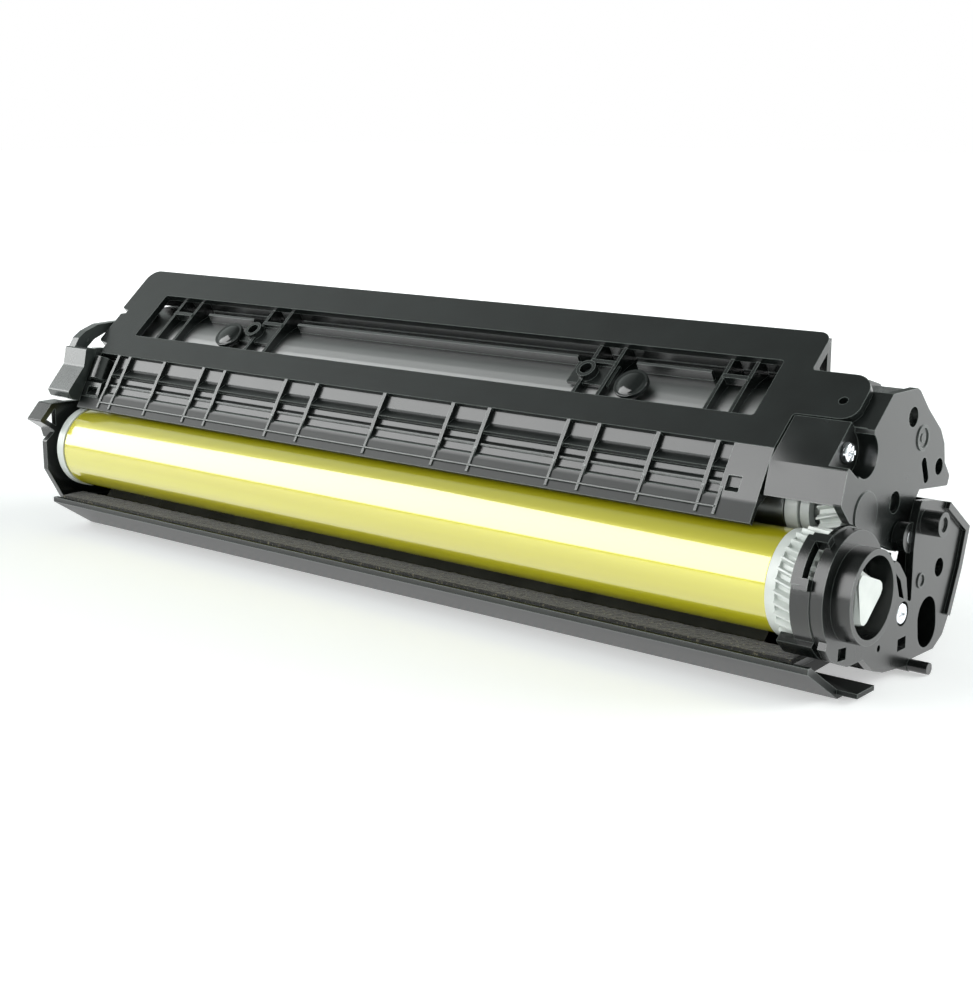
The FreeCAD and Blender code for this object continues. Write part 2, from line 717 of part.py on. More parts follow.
def make_charge_roller():
    shaft_right = rubber_right + 0.3 + saddle_wall
    shaft_left = rubber_left - 0.3 - saddle_wall
    turned("charge_roller_shaft", [(shaft_left, shaft_right, size.charge_shaft_radius)], charge_y, charge_z)
    turned("charge_roller_sleeve", [(rubber_left + 0.5, rubber_right - 0.5, size.charge_radius)], charge_y, charge_z,
           bores=[(rubber_left + 0.5, rubber_right - 0.5, size.charge_shaft_radius)])
    for name, start in (("charge_saddle_drive", rubber_right + 0.3), ("charge_saddle_free", shaft_left)):
        saddle = Moulding(name)
        saddle.pad(radial_box(saddle_near, saddle_far, saddle_half), start, start + saddle_wall)
        saddle.cut(ring(charge_y, charge_z, size.charge_shaft_radius + size.running_gap), start, start + saddle_wall)
    for name, start in (("charge_spring_drive", rubber_right + 0.3), ("charge_spring_free", shaft_left)):
        foot = saddle_far + 0.05
        coil_spring(name, foot, tower_reach[1] - 1.5 - foot - 0.05, 1.35, 3, start + saddle_wall / 2)


def coil_spring(name, foot, length, radius, turns, x):
    """A spring whose axis points from the drum axis at the charge roller."""
    out = vector(*on_circle(1, size.charge_angle))
    side = FreeCAD.Vector(1, 0, 0)
    spring_wire(name, out * foot + side * float(x), out, side, length, radius, turns)


def spring_wire(name, foot, out, side, length, radius, turns):
    """A round wire wound about an axis, with its turns closed up to the given length."""
    wire = 0.3
    other = out.cross(side)
    per_turn = 12
    rings = []
    for step in range(turns * per_turn + 1):
        turn = 2 * math.pi * step / per_turn
        outward = side * math.cos(turn) + other * math.sin(turn)
        rise = wire + (length - 2 * wire) * step / (turns * per_turn)
        heart = foot + outward * radius + out * rise
        rings.append([heart + outward * (wire * math.cos(a)) + out * (wire * math.sin(a))
                      for a in (0, math.pi / 2, math.pi, 3 * math.pi / 2)])
    stacked(name, rings).Label = name


# The hopper unit's sections. Points on the sloping cover are given as (down the slope, out of it).

slope_top_y, slope_top_z = 33.0, 52.0
free_cap_left = hopper_left - size.cap_wall
free_lug_left = free_cap_left


def slope(down, out=0.0):
    turn = math.radians(float(size.cover_slope))
    return (slope_top_y - down * math.cos(turn) - out * math.sin(turn),
            slope_top_z - down * math.sin(turn) + out * math.cos(turn))


def slope_vector(down, out, x):
    return vector(*slope(down, out), x)


class SlopingPlate(Moulding):
    """A piece drawn on the cover's slope, as (x, -down the slope) pairs, and run square to it."""

    plane = "XY_Plane"

    def place(self, drawing, start):
        tilt = FreeCAD.Rotation(FreeCAD.Vector(1, 0, 0), float(size.cover_slope))
        drawing.AttachmentOffset = FreeCAD.Placement(slope_vector(0, float(start), 0), tilt)


hopper_back = [(16.0, 5.9), (28.4, 3.4), (31.0, 4.8), (37.3, 14.6), (55.5, 15.2), (57.2, 18.0), (56.0, 25.0),
               (50.0, 33.0), (42.0, 39.6), (36.5, 41.2)]
crown = Part.Arc(vector(31.0, 40.6), vector(21.2, 36.6), vector(14.2, 30.4)).toShape().discretize(9)
hopper_crown = [(spot.y, spot.z) for spot in crown]
free_cap_screws = [(33.5, 36.3), (52.0, 18.6)]
cap_screw_spot = (11.4, 28.6)
pocket_floor = cap_face - 5.0
pocket_wall = 1.5
window = (10.0, 27.5)
window_left, window_right = drum_left + 7.0, cover_right - 9.7
plate_left, plate_right = drum_left - 7.0, cover_right - 1.3
rib_pairs = (14.8, 22.7, 54.7, 62.5, -72.5, -65.0, -33.4, -26.3)
boss_places = (53.5, -71.9)
boss_down = 19.0
plug_spot, plug_radius = (44.8, 25.2), 5.4
bearing_wall = 2.3


def from_drum(reach):
    """A station that keeps its distance from one end of the drum: the free end, or the drive end if negative."""
    return (drum_left if reach > 0 else drum_right) + reach


def make_hopper():
    wall = size.hopper_wall
    inner = float(wall)
    part = Moulding("toner_hopper")
    part.pad(strip(hopper_back + hopper_crown, wall), hopper_left, hopper_right)
    end_wall = hopper_back + hopper_crown + [(15.2, 29.0), (19.5, 23.0), (20.5, 14.0), (17.6, 7.4)]
    part.pad(end_wall, hopper_left, hopper_left + wall)
    part.pad(end_wall, hopper_right - wall, hopper_right)
    shaft_hole = size.agitator_shaft_radius + size.running_gap
    part.cut(ring(agitator_y, agitator_z, shaft_hole), hopper_right - wall, hopper_right)
    part.pad(ring(agitator_y, agitator_z, shaft_hole + 1.5), hopper_left + wall, hopper_left + wall + 3.0)
    part.cut(ring(agitator_y, agitator_z, shaft_hole), hopper_left + 1.0, hopper_left + wall + 3.0)
    part.pad(ring(idler_y, idler_z, size.idler_stud_radius), hopper_right, cap_back - 0.05)
    part.cut(ring(*plug_spot, plug_radius), hopper_left, hopper_left + wall)
    lug = [(9.4, 27.2), (10.8, 26.2), (15.9, 24.5), (19.5, 23.0), (18.5, 30.0), (15.2, 31.0), (12.6, 30.6)]
    post_end = pocket_floor - pocket_wall - 0.05
    part.pad(lug, hopper_right - wall, hopper_right)
    part.pad(ring(*cap_screw_spot, 2.4), hopper_right - wall, post_end)
    part.cut(ring(*cap_screw_spot, screw_hole), hopper_right - wall, post_end)
    for spot in free_cap_screws:
        part.pad(ring(*spot, 3.0), hopper_left, hopper_left + 8.0)
        part.cut(ring(*spot, screw_hole), hopper_left, hopper_left + 7.5)
    ledge = [slope(13.2, -2.6), slope(14.0, -2.6), slope(14.6, -6.0), slope(13.4, -6.4)]
    ledge_runs = ((28.0, 48.0), (67.0, -78.5), (-60.0, -38.0))
    for start, end in ledge_runs:
        part.pad(ledge, from_drum(start), from_drum(end))
    hollows, discs = [], []
    down = 21.6
    for number, reach in enumerate((44.4, -57.0), 1):
        x = from_drum(reach)
        discs.append(bar_between("hopper_disc_stem_%d" % number, slope_vector(down, -5.0, x),
                                 slope_vector(down, -2.0, x), 2.5))
        discs.append(bar_between("hopper_disc_%d" % number, slope_vector(down, -2.4, x),
                                 slope_vector(down, -1.2, x), 4.5))
        hollows.append(bar_between("hopper_disc_dish_%d" % number, slope_vector(down, -1.5, x),
                                   slope_vector(down, -1.1, x), 3.7))
    whole = fused("toner_hopper", part.body, *discs)
    part.body.Label = "toner_hopper_shell"
    whole.Label = "toner_hopper_with_discs"
    trimmed("toner_hopper", whole, *hollows)

    plug = turned("fill_plug", [(hopper_left - 1.5, hopper_left, plug_radius + 1.3),
                                (hopper_left, hopper_left + wall + 1.0, plug_radius - 0.02)], *plug_spot,
                  bores=[(hopper_left - 1.5, hopper_left - 0.5, plug_radius - 1.5)])
    plug.Label = "fill_plug"
    film = Moulding("developer_lip_film")
    film.pad(strip([(14.9, 8.2), (16.4, 7.68), (19.0, 7.16)], 0.25), rubber_left, rubber_right)


# The front cover: sloping plate with its window, louvred front, lip over the drum, ear at the drive end

front_line = [(5.35, 28.75), (1.75, 23.3), (-0.5, 19.5), (-1.9, 17.0)]
back_line = [(8.6, 28.6), (4.6, 21.8), (3.4, 19.7), (-1.9, 17.0), (-4.4, 12.9)]
louvre = [(6.75, 25.5), (1.75, 23.3)]
rib_places = (7.2, 12.5, 28.7, 46.2, 55.5, 81.1, 93.5, 119.1, -104.6, -92.4, -67.1, -57.7, -40.4, -23.8, -18.9)


def make_cover():
    wall = size.cover_wall
    deep = float(wall)
    ear_right = cover_right + 15.3
    ear_left = plate_right
    band_end = 36.1
    plate = SlopingPlate("cover_plate")
    plate.pad([(plate_left, -band_end + 4.8, 1.5), (cover_left, -band_end + 4.1, 0.5), (cover_left, -band_end),
               (cover_right, -band_end), (cover_right, -25.5, 0.8), (ear_right, -25.4, 4.0), (ear_right, -12.0, 5.0),
               (ear_left, -11.9, 0.8), (ear_left, 0, 3.0), (plate_left - 1.2, 0, 4.0), (plate_left - 1.2, -17.0, 0.8),
               (plate_left + 2.0, -17.8), (plate_left + 2.0, -19.0), (plate_left, -19.5)], -wall, 0.0)
    plate.cut([(window_left, -window[0], 0.8), (window_right, -window[0], 0.8), (window_right, -window[1], 0.8),
               (window_left, -window[1], 0.8)], -wall, 0.0)
    plate.cut(ring(float(cover_right) + 10.3, -20.1, 1.1), -wall, 0.0)
    rear_y = slope_top_y - 0.4
    rear = [(rear_y, 41.1), (rear_y + 1.8, 41.1), (rear_y + 1.8, 50.5), (rear_y, 50.5)]
    under = [slope(8.0, -deep + 0.4), slope(28.4, -deep + 0.4)] + hopper_crown[::-1]
    pieces = [plate.body, moulded("cover_rear_leg", rear, plate_left + 2.0, plate_right - 1.0)]
    for number, reach in enumerate(rib_pairs, 1):
        x = from_drum(reach)
        pieces.append(moulded("cover_window_rib_%d" % number, under, x - 0.5, x + 0.5))
    bridge = [slope(15.0, -1.2), slope(16.2, -1.2), slope(16.2, -3.8), slope(15.0, -3.8)]
    for left, right in zip(rib_pairs[::2], rib_pairs[1::2]):
        pieces.append(moulded("cover_window_bridge", bridge, from_drum(left), from_drum(right)))
    hollows = []
    flange = [slope(15.5, -2.4), slope(22.5, -2.4), slope(22.5, -3.4), slope(15.5, -3.4)]
    for number, reach in enumerate(boss_places, 1):
        x = from_drum(reach)
        pieces.append(bar_between("cover_boss_%d" % number, slope_vector(boss_down, -3.4, x),
                                  slope_vector(boss_down, -0.4, x), 2.7))
        pieces.append(moulded("cover_boss_flange_%d" % number, flange, x - 5.1, x + 7.9))
        hollows.append(bar_between("cover_boss_hollow_%d" % number, slope_vector(boss_down, -2.8, x),
                                   slope_vector(boss_down, 0.1, x), 1.7))
    pieces.append(moulded("cover_free_side", under, plate_left + 1.0, plate_left + 3.0))
    pieces.append(moulded("cover_drive_side", under, plate_right - 3.0, plate_right - 1.0))
    front_wall = 1.2
    rib_shape = front_line + back_line[2::-1]
    first_rib, last_rib = from_drum(rib_places[0]), from_drum(rib_places[-1])
    pieces.append(moulded("cover_front", strip(back_line, front_wall), cover_left, cover_right))
    pieces.append(moulded("cover_louvre", strip(louvre, 1.0), first_rib, last_rib))
    for number, reach in enumerate(rib_places, 1):
        x = from_drum(reach)
        pieces.append(moulded("cover_front_rib_%d" % number, rib_shape, x - size.rib_wall * 0.5,
                              x + size.rib_wall * 0.5))
    notch = [(-3.5, 17.6), (0.6, 19.4), (1.9, 22.0), (-3.0, 22.0)]
    end_band = strip(front_line, front_wall)
    drive_band = Moulding("cover_drive_band")
    drive_band.pad(end_band, last_rib, cover_right)
    drive_band.cut(notch, last_rib + 0.8, cover_right - 5.5)
    bulge_x = float(cover_left) + 3.7
    bulge = bar_between("cover_free_bulge", vector(1.4, 21.0, bulge_x), vector(4.6, 27.2, bulge_x), 2.8)
    clip = Moulding("cover_free_clip")
    clip.pad([(-2.8, 16.3), (-0.9, 20.6, 0.4), (1.4, 21.4), (2.6, 19.2), (-0.6, 15.6)], cover_left, first_rib - 1.4)
    clip.cut([(-3.5, 17.0), (-1.6, 19.4), (0.4, 18.4), (-1.0, 16.4)], cover_left + 2.6, first_rib - 2.6)
    pieces += [drive_band.body, bulge, clip.body]
    pieces.append(moulded("cover_drive_end", rib_shape, cover_right - 1.2, cover_right))
    pieces.append(moulded("cover_free_end", rib_shape, cover_left, cover_left + 1.2))
    whole = fused("front_cover", *pieces)
    whole.Label = "front_cover_undrilled"
    trimmed("front_cover", whole, *hollows)


# The hopper unit's end caps

cap_outline = [
    (0.3, 18.8, 0.8), (2.7, 26.5, 0.8), slope(25.9), slope(25.9, -2.1), slope(14.7, -2.1), (35.1, 40.8, 0.8),
    (36.7, 40.0), (41.5, 35.1), (48.8, 29.1, 1.5), (51.1, 25.5, 1.5), (51.9, 20.7), (55.0, 16.9, 0.8), (54.0, 14.6, 0.5),
    (47.9, 15.2), (38.8, 16.2), (37.1, 14.3), (32.3, 7.3, 1.0), (30.9, 3.9, 0.6), (28.1, 3.2, 0.6), (19.0, 6.7),
    (12.3, 9.3), (5.0, 13.9),
]
cap_front = cap_outline[:5]
cap_rear = [slope(14.7, -2.1), (36.7, 40.0), (41.5, 35.1), (48.8, 29.1), (51.1, 25.5), (51.9, 20.7), (55.0, 16.9),
            (54.0, 14.6), (38.8, 16.2), (37.1, 14.3), (32.3, 7.3)]


def make_drive_cap():
    part = Moulding("drive_end_cap")
    part.pad(cap_outline, cap_back, cap_face)
    skirt = 1.0
    part.pad(strip(cap_rear[::-1], skirt), hopper_right, cap_back)
    part.pad(strip([spot[:2] for spot in cap_front[::-1]], 1.2), wrap_left, cap_back)
    part.pad([(2.6, 26.4), (4.0, 21.5), (12.0, 21.0), (18.2, 24.5), (18.6, 31.5), slope(25.9, -1.0)],
             pocket_floor - pocket_wall, cap_back)
    gear_room = pitch_radius(size.developer_teeth) + 1.05
    part.cut(ring(developer_y, developer_z, gear_room), train_left - 0.4, cap_back)
    part.cut(ring(*cap_screw_spot, 5.3), pocket_floor, cap_face)
    part.cut([(-1.0, 27.0), (3.2, 27.0), (7.6, 23.9), (9.4, 25.0), (15.0, 28.0), (14.6, 33.9), (12.5, 38.5), (-1.0, 31.0)],
             pocket_floor, cap_face)
    part.cut(ring(*cap_screw_spot, screw_hole + 0.1), pocket_floor - pocket_wall, pocket_floor)
    part.cut(ring(hinge_y, hinge_z, size.hinge_radius + size.running_gap), cap_back, cap_face)
    part.cut(ring(idler_y, idler_z, size.idler_stud_radius + 0.6), cap_back, cap_face)
    part.cut(ring(33.7, 34.2, 2.4), cap_back, cap_face)
    part.cut(slot(41.3, 20.35, 1.25, 4.2, 111), cap_back, cap_face)
    part.cut(ring(48.8, 20.1, 2.05), cap_back, cap_face)
    part.cut(ring(developer_y, developer_z, size.core_shaft_radius + size.press_gap), cap_back, cap_back + 1.2)
    part.pad(ring(developer_y, developer_z, 5.3), cap_face, cap_face + 0.3)
    part.cut(ring(0, 0, barrel_outer + 0.8), wrap_left, cap_face + 0.3)
    part.pad(ring(39.1, 28.5, 3.1), cap_face, cap_face + 0.3)
    part.cut(ring(39.1, 28.5, 2.4), cap_face, cap_face + 0.3)
    part.pad(ring(39.1, 28.5, 1.1), cap_face, cap_face + 0.2)
    turned("cap_screw_drive", [(pocket_floor, pocket_floor + 1.5, screw_head),
                               (pocket_floor - pocket_wall - 5.0, pocket_floor, screw_shank)], *cap_screw_spot)
    arm = [(13.0, 8.6), (20.5, 8.0), (22.6, 10.5), (22.6, 21.5), (17.0, 24.0), (13.0, 21.9)]
    for name, start in (("developer_bearing_drive", hopper_right), ("developer_bearing_free", free_cap_left)):
        bushing = Moulding(name)
        width = bearing_wall if name.endswith("drive") else size.cap_wall
        bushing.pad(ring(developer_y, developer_z, size.developer_radius - 0.5), start, start + width)
        bushing.pad(arm, start, start + width)
        bushing.cut(ring(developer_y, developer_z, size.developer_journal + size.running_gap), start, start + width)


free_cap_outline = [
    (23.0, 6.6), (28.1, 3.2, 0.8), (31.5, 4.2, 1.0), (37.3, 14.6), (55.5, 15.2, 1.0), (57.2, 18.0), (56.0, 25.0, 2.0),
    (50.0, 33.0, 2.0), (42.0, 39.6, 2.0), (36.5, 40.9), (31.0, 40.6), (23.8, 37.9), (17.6, 33.7), (10.9, 28.4),
    (6.9, 21.4), (5.2, 18.2), (5.6, 17.9), (8.0, 22.4), (11.0, 24.3), (14.0, 25.2), (23.0, 23.5),
]


def make_free_cap():
    part = Moulding("free_end_cap")
    part.pad(free_cap_outline, free_cap_left, hopper_left)
    block_left, block_right = free_cap_left - 10.0, hopper_left - 1.8
    block = [(-0.2, 30.6, 0.6), (-1.4, 25.2, 1.2), (-7.9, 18.0, 0.8), (-7.0, 16.0, 0.5), (-3.9, 14.8, 0.5), (4.1, 30.3, 0.6)]
    part.pad(block, block_left, block_right)
    core_right = cover_left - 0.2
    part.pad([(-3.7, 15.0), (4.1, 30.3), (7.6, 30.0), (9.6, 27.8), (5.4, 20.9), (3.2, 16.6), (-1.0, 15.2)],
             core_right - 2.0, core_right)
    part.pad([(9.4, 28.6), (5.4, 21.6), (3.7, 18.4), (3.0, 16.6), (4.4, 16.4), (5.2, 18.2), (8.4, 23.6), (13.5, 27.0)],
             core_right - 2.0, core_right)
    part.pad([(10.9, 28.4), (6.9, 21.4), (5.2, 18.2), (8.4, 23.6), (13.5, 27.0), (16.0, 30.9)], core_right - 2.0,
             free_cap_left)
    arch = [(0.4, 30.2), (2.4, 33.2, 1.0), (5.2, 35.0, 2.0), (10.4, 36.7, 4.0), (17.5, 36.9, 4.0), (25.0, 36.7), (25.0, 33.9),
            (18.0, 34.3, 4.0), (12.6, 33.8, 4.0), (8.4, 32.2, 2.0), (5.6, 30.0), (3.0, 29.0)]
    arch_right = plate_left - 1.6
    part.pad(arch, block_left + 0.5, arch_right)
    part.pad([(23.0, 36.8), (27.2, 36.0), (30.0, 30.0), (26.0, 30.0)], block_left + 0.5, free_cap_left)
    part.cut(ring(*plug_spot, plug_radius + 1.8), free_cap_left, hopper_left)
    part.cut(ring(hinge_y, hinge_z, size.hinge_radius + size.running_gap), free_cap_left, hopper_left)
    screws = []
    for number, spot in enumerate(free_cap_screws, 1):
        part.cut(ring(*spot, screw_hole + 0.1), free_cap_left, hopper_left)
        screws.append(turned("cap_screw_free_%d" % number,
                             [(free_cap_left - 1.4, free_cap_left, screw_head),
                              (free_cap_left, hopper_left + 1.5, screw_shank)], *spot))
    fused("cap_screws_free", *screws)


# Developer roller, doctor blade, agitator and the gear train


def make_developer():
    sleeve_left, sleeve_right = rubber_left, rubber_right
    journal_left = free_cap_left
    inner = size.developer_radius - size.sleeve_wall
    core_bore = size.core_shaft_radius + size.running_gap
    turned("developer_sleeve", [(sleeve_left, sleeve_right, size.developer_radius)], developer_y, developer_z,
           bores=[(sleeve_left, sleeve_right, inner)])
    plug = size.spigot_length * 0.5
    turned("sleeve_journal_drive",
           [(sleeve_right - plug, sleeve_right, inner - size.press_gap),
            (sleeve_right, train_right, size.developer_journal)], developer_y, developer_z,
           bores=[(sleeve_right - plug, train_right, core_bore)])
    turned("sleeve_journal_free",
           [(sleeve_left, sleeve_left + plug, inner - size.press_gap), (journal_left, sleeve_left, size.developer_journal)],
           developer_y, developer_z, bores=[(journal_left, sleeve_left + plug, core_bore)])
    turned("magnet_core",
           [(sleeve_left + plug + 0.5, sleeve_right - plug - 0.5, inner - 0.4),
            (journal_left, cap_back + 1.0, size.core_shaft_radius)], developer_y, developer_z)
    spacer = size.developer_radius + 0.18
    turned("spacer_ring_drive", [(sleeve_right + 0.3, hopper_right - size.side_gap, spacer)], developer_y, developer_z,
           bores=[(sleeve_right + 0.3, hopper_right - size.side_gap, size.developer_journal + size.press_gap)])
    turned("spacer_ring_free", [(hopper_left + size.side_gap, sleeve_left - 0.3, spacer)], developer_y, developer_z,
           bores=[(hopper_left + size.side_gap, sleeve_left - 0.3, size.developer_journal + size.press_gap)])
    gear = helical_gear("developer_gear_teeth", size.developer_teeth, developer_tooth, train_left, train_right,
                        developer_y, developer_z, -float(size.drum_teeth) / float(size.developer_teeth)
                        * pitch_radius(size.developer_teeth) / pitch_radius(size.drum_teeth))
    bore = turned("developer_gear_bore", [(train_left - 1.0, train_right + 1.0, size.developer_journal + size.press_gap)],
                  developer_y, developer_z)
    trimmed("developer_gear", gear, bore)


def make_doctor():
    lean = math.radians(38)
    along = (math.cos(lean), math.sin(lean))
    above = (-math.sin(lean), math.cos(lean))
    edge = on_circle(size.developer_radius + size.contact_gap, 115, developer_y, developer_z)
    thickness, reach, sheet_wall = 1.3, 8.5, 1.2
    root = [edge[i] + reach * along[i] for i in (0, 1)]
    blade = Moulding("doctor_blade")
    blade.pad(strip([edge, root], thickness), rubber_left, rubber_right)
    start = [edge[i] + 3.4 * along[i] + thickness * above[i] for i in (0, 1)]
    end = [edge[i] + 9.0 * along[i] + thickness * above[i] for i in (0, 1)]
    bracket = Moulding("doctor_bracket")
    bracket.pad(strip([start, end], sheet_wall), hopper_left + size.hopper_wall, hopper_right - size.hopper_wall)


def make_train():
    shaft_left = hopper_left + 1.2
    turned("agitator_shaft", [(shaft_left, train_right, size.agitator_shaft_radius)], agitator_y, agitator_z)
    film = Moulding("agitator_film")
    film_y = agitator_y + float(size.agitator_shaft_radius)
    film.pad([(film_y, agitator_z - 0.25), (agitator_y + 9.6, agitator_z - 0.25), (agitator_y + 9.6, agitator_z + 0.25),
              (film_y, agitator_z + 0.25)], rubber_left + 6.0, rubber_right - 6.0)
    for name, teeth, first, y, z, bore, turn in (
            ("idler_gear", size.idler_teeth, idler_tooth, idler_y, idler_z, size.idler_stud_radius + size.running_gap, 1),
            ("agitator_gear", size.agitator_teeth, agitator_tooth, agitator_y, agitator_z,
             size.agitator_shaft_radius + size.press_gap, -1)):
        gear = helical_gear(name + "_teeth", teeth, first, train_left, train_right, y, z, turn)
        hub = turned(name + "_hub", [(hopper_right + size.side_gap, train_left + 1.0, bore + 1.6)], y, z)
        hole = turned(name + "_bore", [(hopper_right, train_right + 1.0, bore)], y, z)
        trimmed(name, fused(name + "_solid", gear, hub), hole)


def make_springs():
    """Springs between the waste bin's top and the hopper, which press the two rollers together."""
    for name, x in (("pressure_spring_drive", hopper_right - 18.0), ("pressure_spring_free", hopper_left + 18.0)):
        foot = vector(44.5, chamber_top, x)
        spring_wire(name, foot, FreeCAD.Vector(0, 0, 1), FreeCAD.Vector(1, 0, 0), 14.65 - chamber_top, 2.6, 5)


make_drum()
make_drive_bracket()
make_free_bracket()
make_waste_bin()
blade_holes = make_cleaning_blade()
drilled("waste_bin", blade_holes)
drilled("cleaning_blade_bracket", blade_holes)
make_charge_roller()
make_hopper()
make_cover()
make_drive_cap()
make_free_cap()
make_developer()
make_doctor()
make_train()
make_springs()
doc.recompute()

# Check every object, then write one file per piece

nodes = (
    "drum_tube drive_flange free_flange drum_axle drive_end_bracket hinge_pin_drive bracket_screw_drive "
    "free_end_bracket hinge_pin_free bracket_screws_free waste_bin felt_strip recovery_film cleaning_blade "
    "cleaning_blade_bracket blade_screws charge_roller_shaft charge_roller_sleeve charge_saddle_drive "
    "charge_saddle_free charge_spring_drive charge_spring_free toner_hopper fill_plug developer_lip_film front_cover "
    "drive_end_cap cap_screw_drive developer_bearing_drive developer_bearing_free free_end_cap cap_screws_free "
    "developer_sleeve sleeve_journal_drive sleeve_journal_free magnet_core spacer_ring_drive spacer_ring_free "
    "developer_gear doctor_blade doctor_bracket agitator_shaft agitator_film idler_gear agitator_gear "
    "pressure_spring_drive pressure_spring_free").split()

broken = [thing.Label for thing in doc.Objects if "Invalid" in thing.State or "Error" in thing.State]
if broken:
    raise RuntimeError("failed objects: " + ", ".join(broken))

os.makedirs("parts", exist_ok=True)
for node in nodes:
    thing = doc.getObjectsByLabel(node)[0]
    shape = thing.Shape
    if shape.isNull() or not shape.isValid() or not shape.Solids:
        raise RuntimeError("bad shape: " + node)
    shape.exportStep("parts/%s.step" % node)
    box = shape.BoundBox
    print("%-26s solids %2d  volume %9.1f  X %7.1f %7.1f  Y %6.1f %6.1f  Z %6.1f %6.1f" % (
        node, len(shape.Solids), shape.Volume, box.XMin, box.XMax, box.YMin, box.YMax, box.ZMin, box.ZMax))
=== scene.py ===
import math

import bmesh
import bpy
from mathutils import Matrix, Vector, noise


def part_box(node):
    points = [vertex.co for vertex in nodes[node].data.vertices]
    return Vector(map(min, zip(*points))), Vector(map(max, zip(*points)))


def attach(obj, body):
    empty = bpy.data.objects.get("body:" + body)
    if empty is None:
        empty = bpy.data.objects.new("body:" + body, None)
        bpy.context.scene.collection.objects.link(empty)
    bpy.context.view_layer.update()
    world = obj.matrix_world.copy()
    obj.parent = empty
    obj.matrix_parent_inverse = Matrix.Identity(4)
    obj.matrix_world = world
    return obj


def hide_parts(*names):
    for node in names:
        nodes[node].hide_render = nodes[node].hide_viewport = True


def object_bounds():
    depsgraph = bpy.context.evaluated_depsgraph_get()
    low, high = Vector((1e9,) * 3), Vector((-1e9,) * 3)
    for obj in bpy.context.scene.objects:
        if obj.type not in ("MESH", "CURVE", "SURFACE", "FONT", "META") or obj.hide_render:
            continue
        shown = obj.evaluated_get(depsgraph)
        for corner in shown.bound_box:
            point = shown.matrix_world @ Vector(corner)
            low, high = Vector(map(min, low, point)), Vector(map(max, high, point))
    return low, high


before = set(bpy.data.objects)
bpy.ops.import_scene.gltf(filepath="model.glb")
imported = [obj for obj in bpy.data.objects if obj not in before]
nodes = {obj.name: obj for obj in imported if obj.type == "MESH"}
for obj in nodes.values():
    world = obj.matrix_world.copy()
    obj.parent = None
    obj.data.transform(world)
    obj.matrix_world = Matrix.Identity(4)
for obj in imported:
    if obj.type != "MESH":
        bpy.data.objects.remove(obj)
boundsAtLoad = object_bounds()
millimetre = 0.001
print("frame loaded:", len(nodes), "nodes")


# colours, shader nodes and materials


def linearColour(hexText):
    # the standard sRGB curve, undone
    channels = [int(hexText[i:i + 2], 16) / 255 for i in (1, 3, 5)]
    return [c / 12.92 if c <= 0.04045 else ((c + 0.055) / 1.055) ** 2.4 for c in channels] + [1.0]


def addNode(tree, kind, settings=None, links=None):
    node = tree.nodes.new(kind)
    for name, value in (settings or {}).items():
        if name in node.inputs:
            node.inputs[name].default_value = value
        else:
            setattr(node, name, value)
    for name, source in (links or {}).items():
        tree.links.new(source, node.inputs[name])
    return node


def startMaterial(name):
    material = bpy.data.materials.new(name)
    material.use_nodes = True
    material.node_tree.nodes.clear()
    return material, material.node_tree


def finishMaterial(tree, shader):
    addNode(tree, "ShaderNodeOutputMaterial", links={"Surface": shader.outputs[0]})


def grainScale(grainMillimetres):
    # a noise cell is about one unit wide, and object coordinates are metres
    return 1 / (grainMillimetres * millimetre)


# the Mix node names its sockets alike for every type, so its colour sockets are taken by number
colourSockets = {"first": 6, "second": 7, "result": 2}

# what all mouldings share: a painted highlight on an edge grows between two cosines of its rounded
# turn from the face
moulding = {"cloudStops": (0.3, 0.72), "cloudDetail": 3.0, "grainDetail": 2.0, "grainDepth": 0.05,
            "edgeRadius": 0.35, "edgeSamples": 4, "highlightTurn": (0.995, 0.92),
            "glossSpread": (0.05, 0.07)}


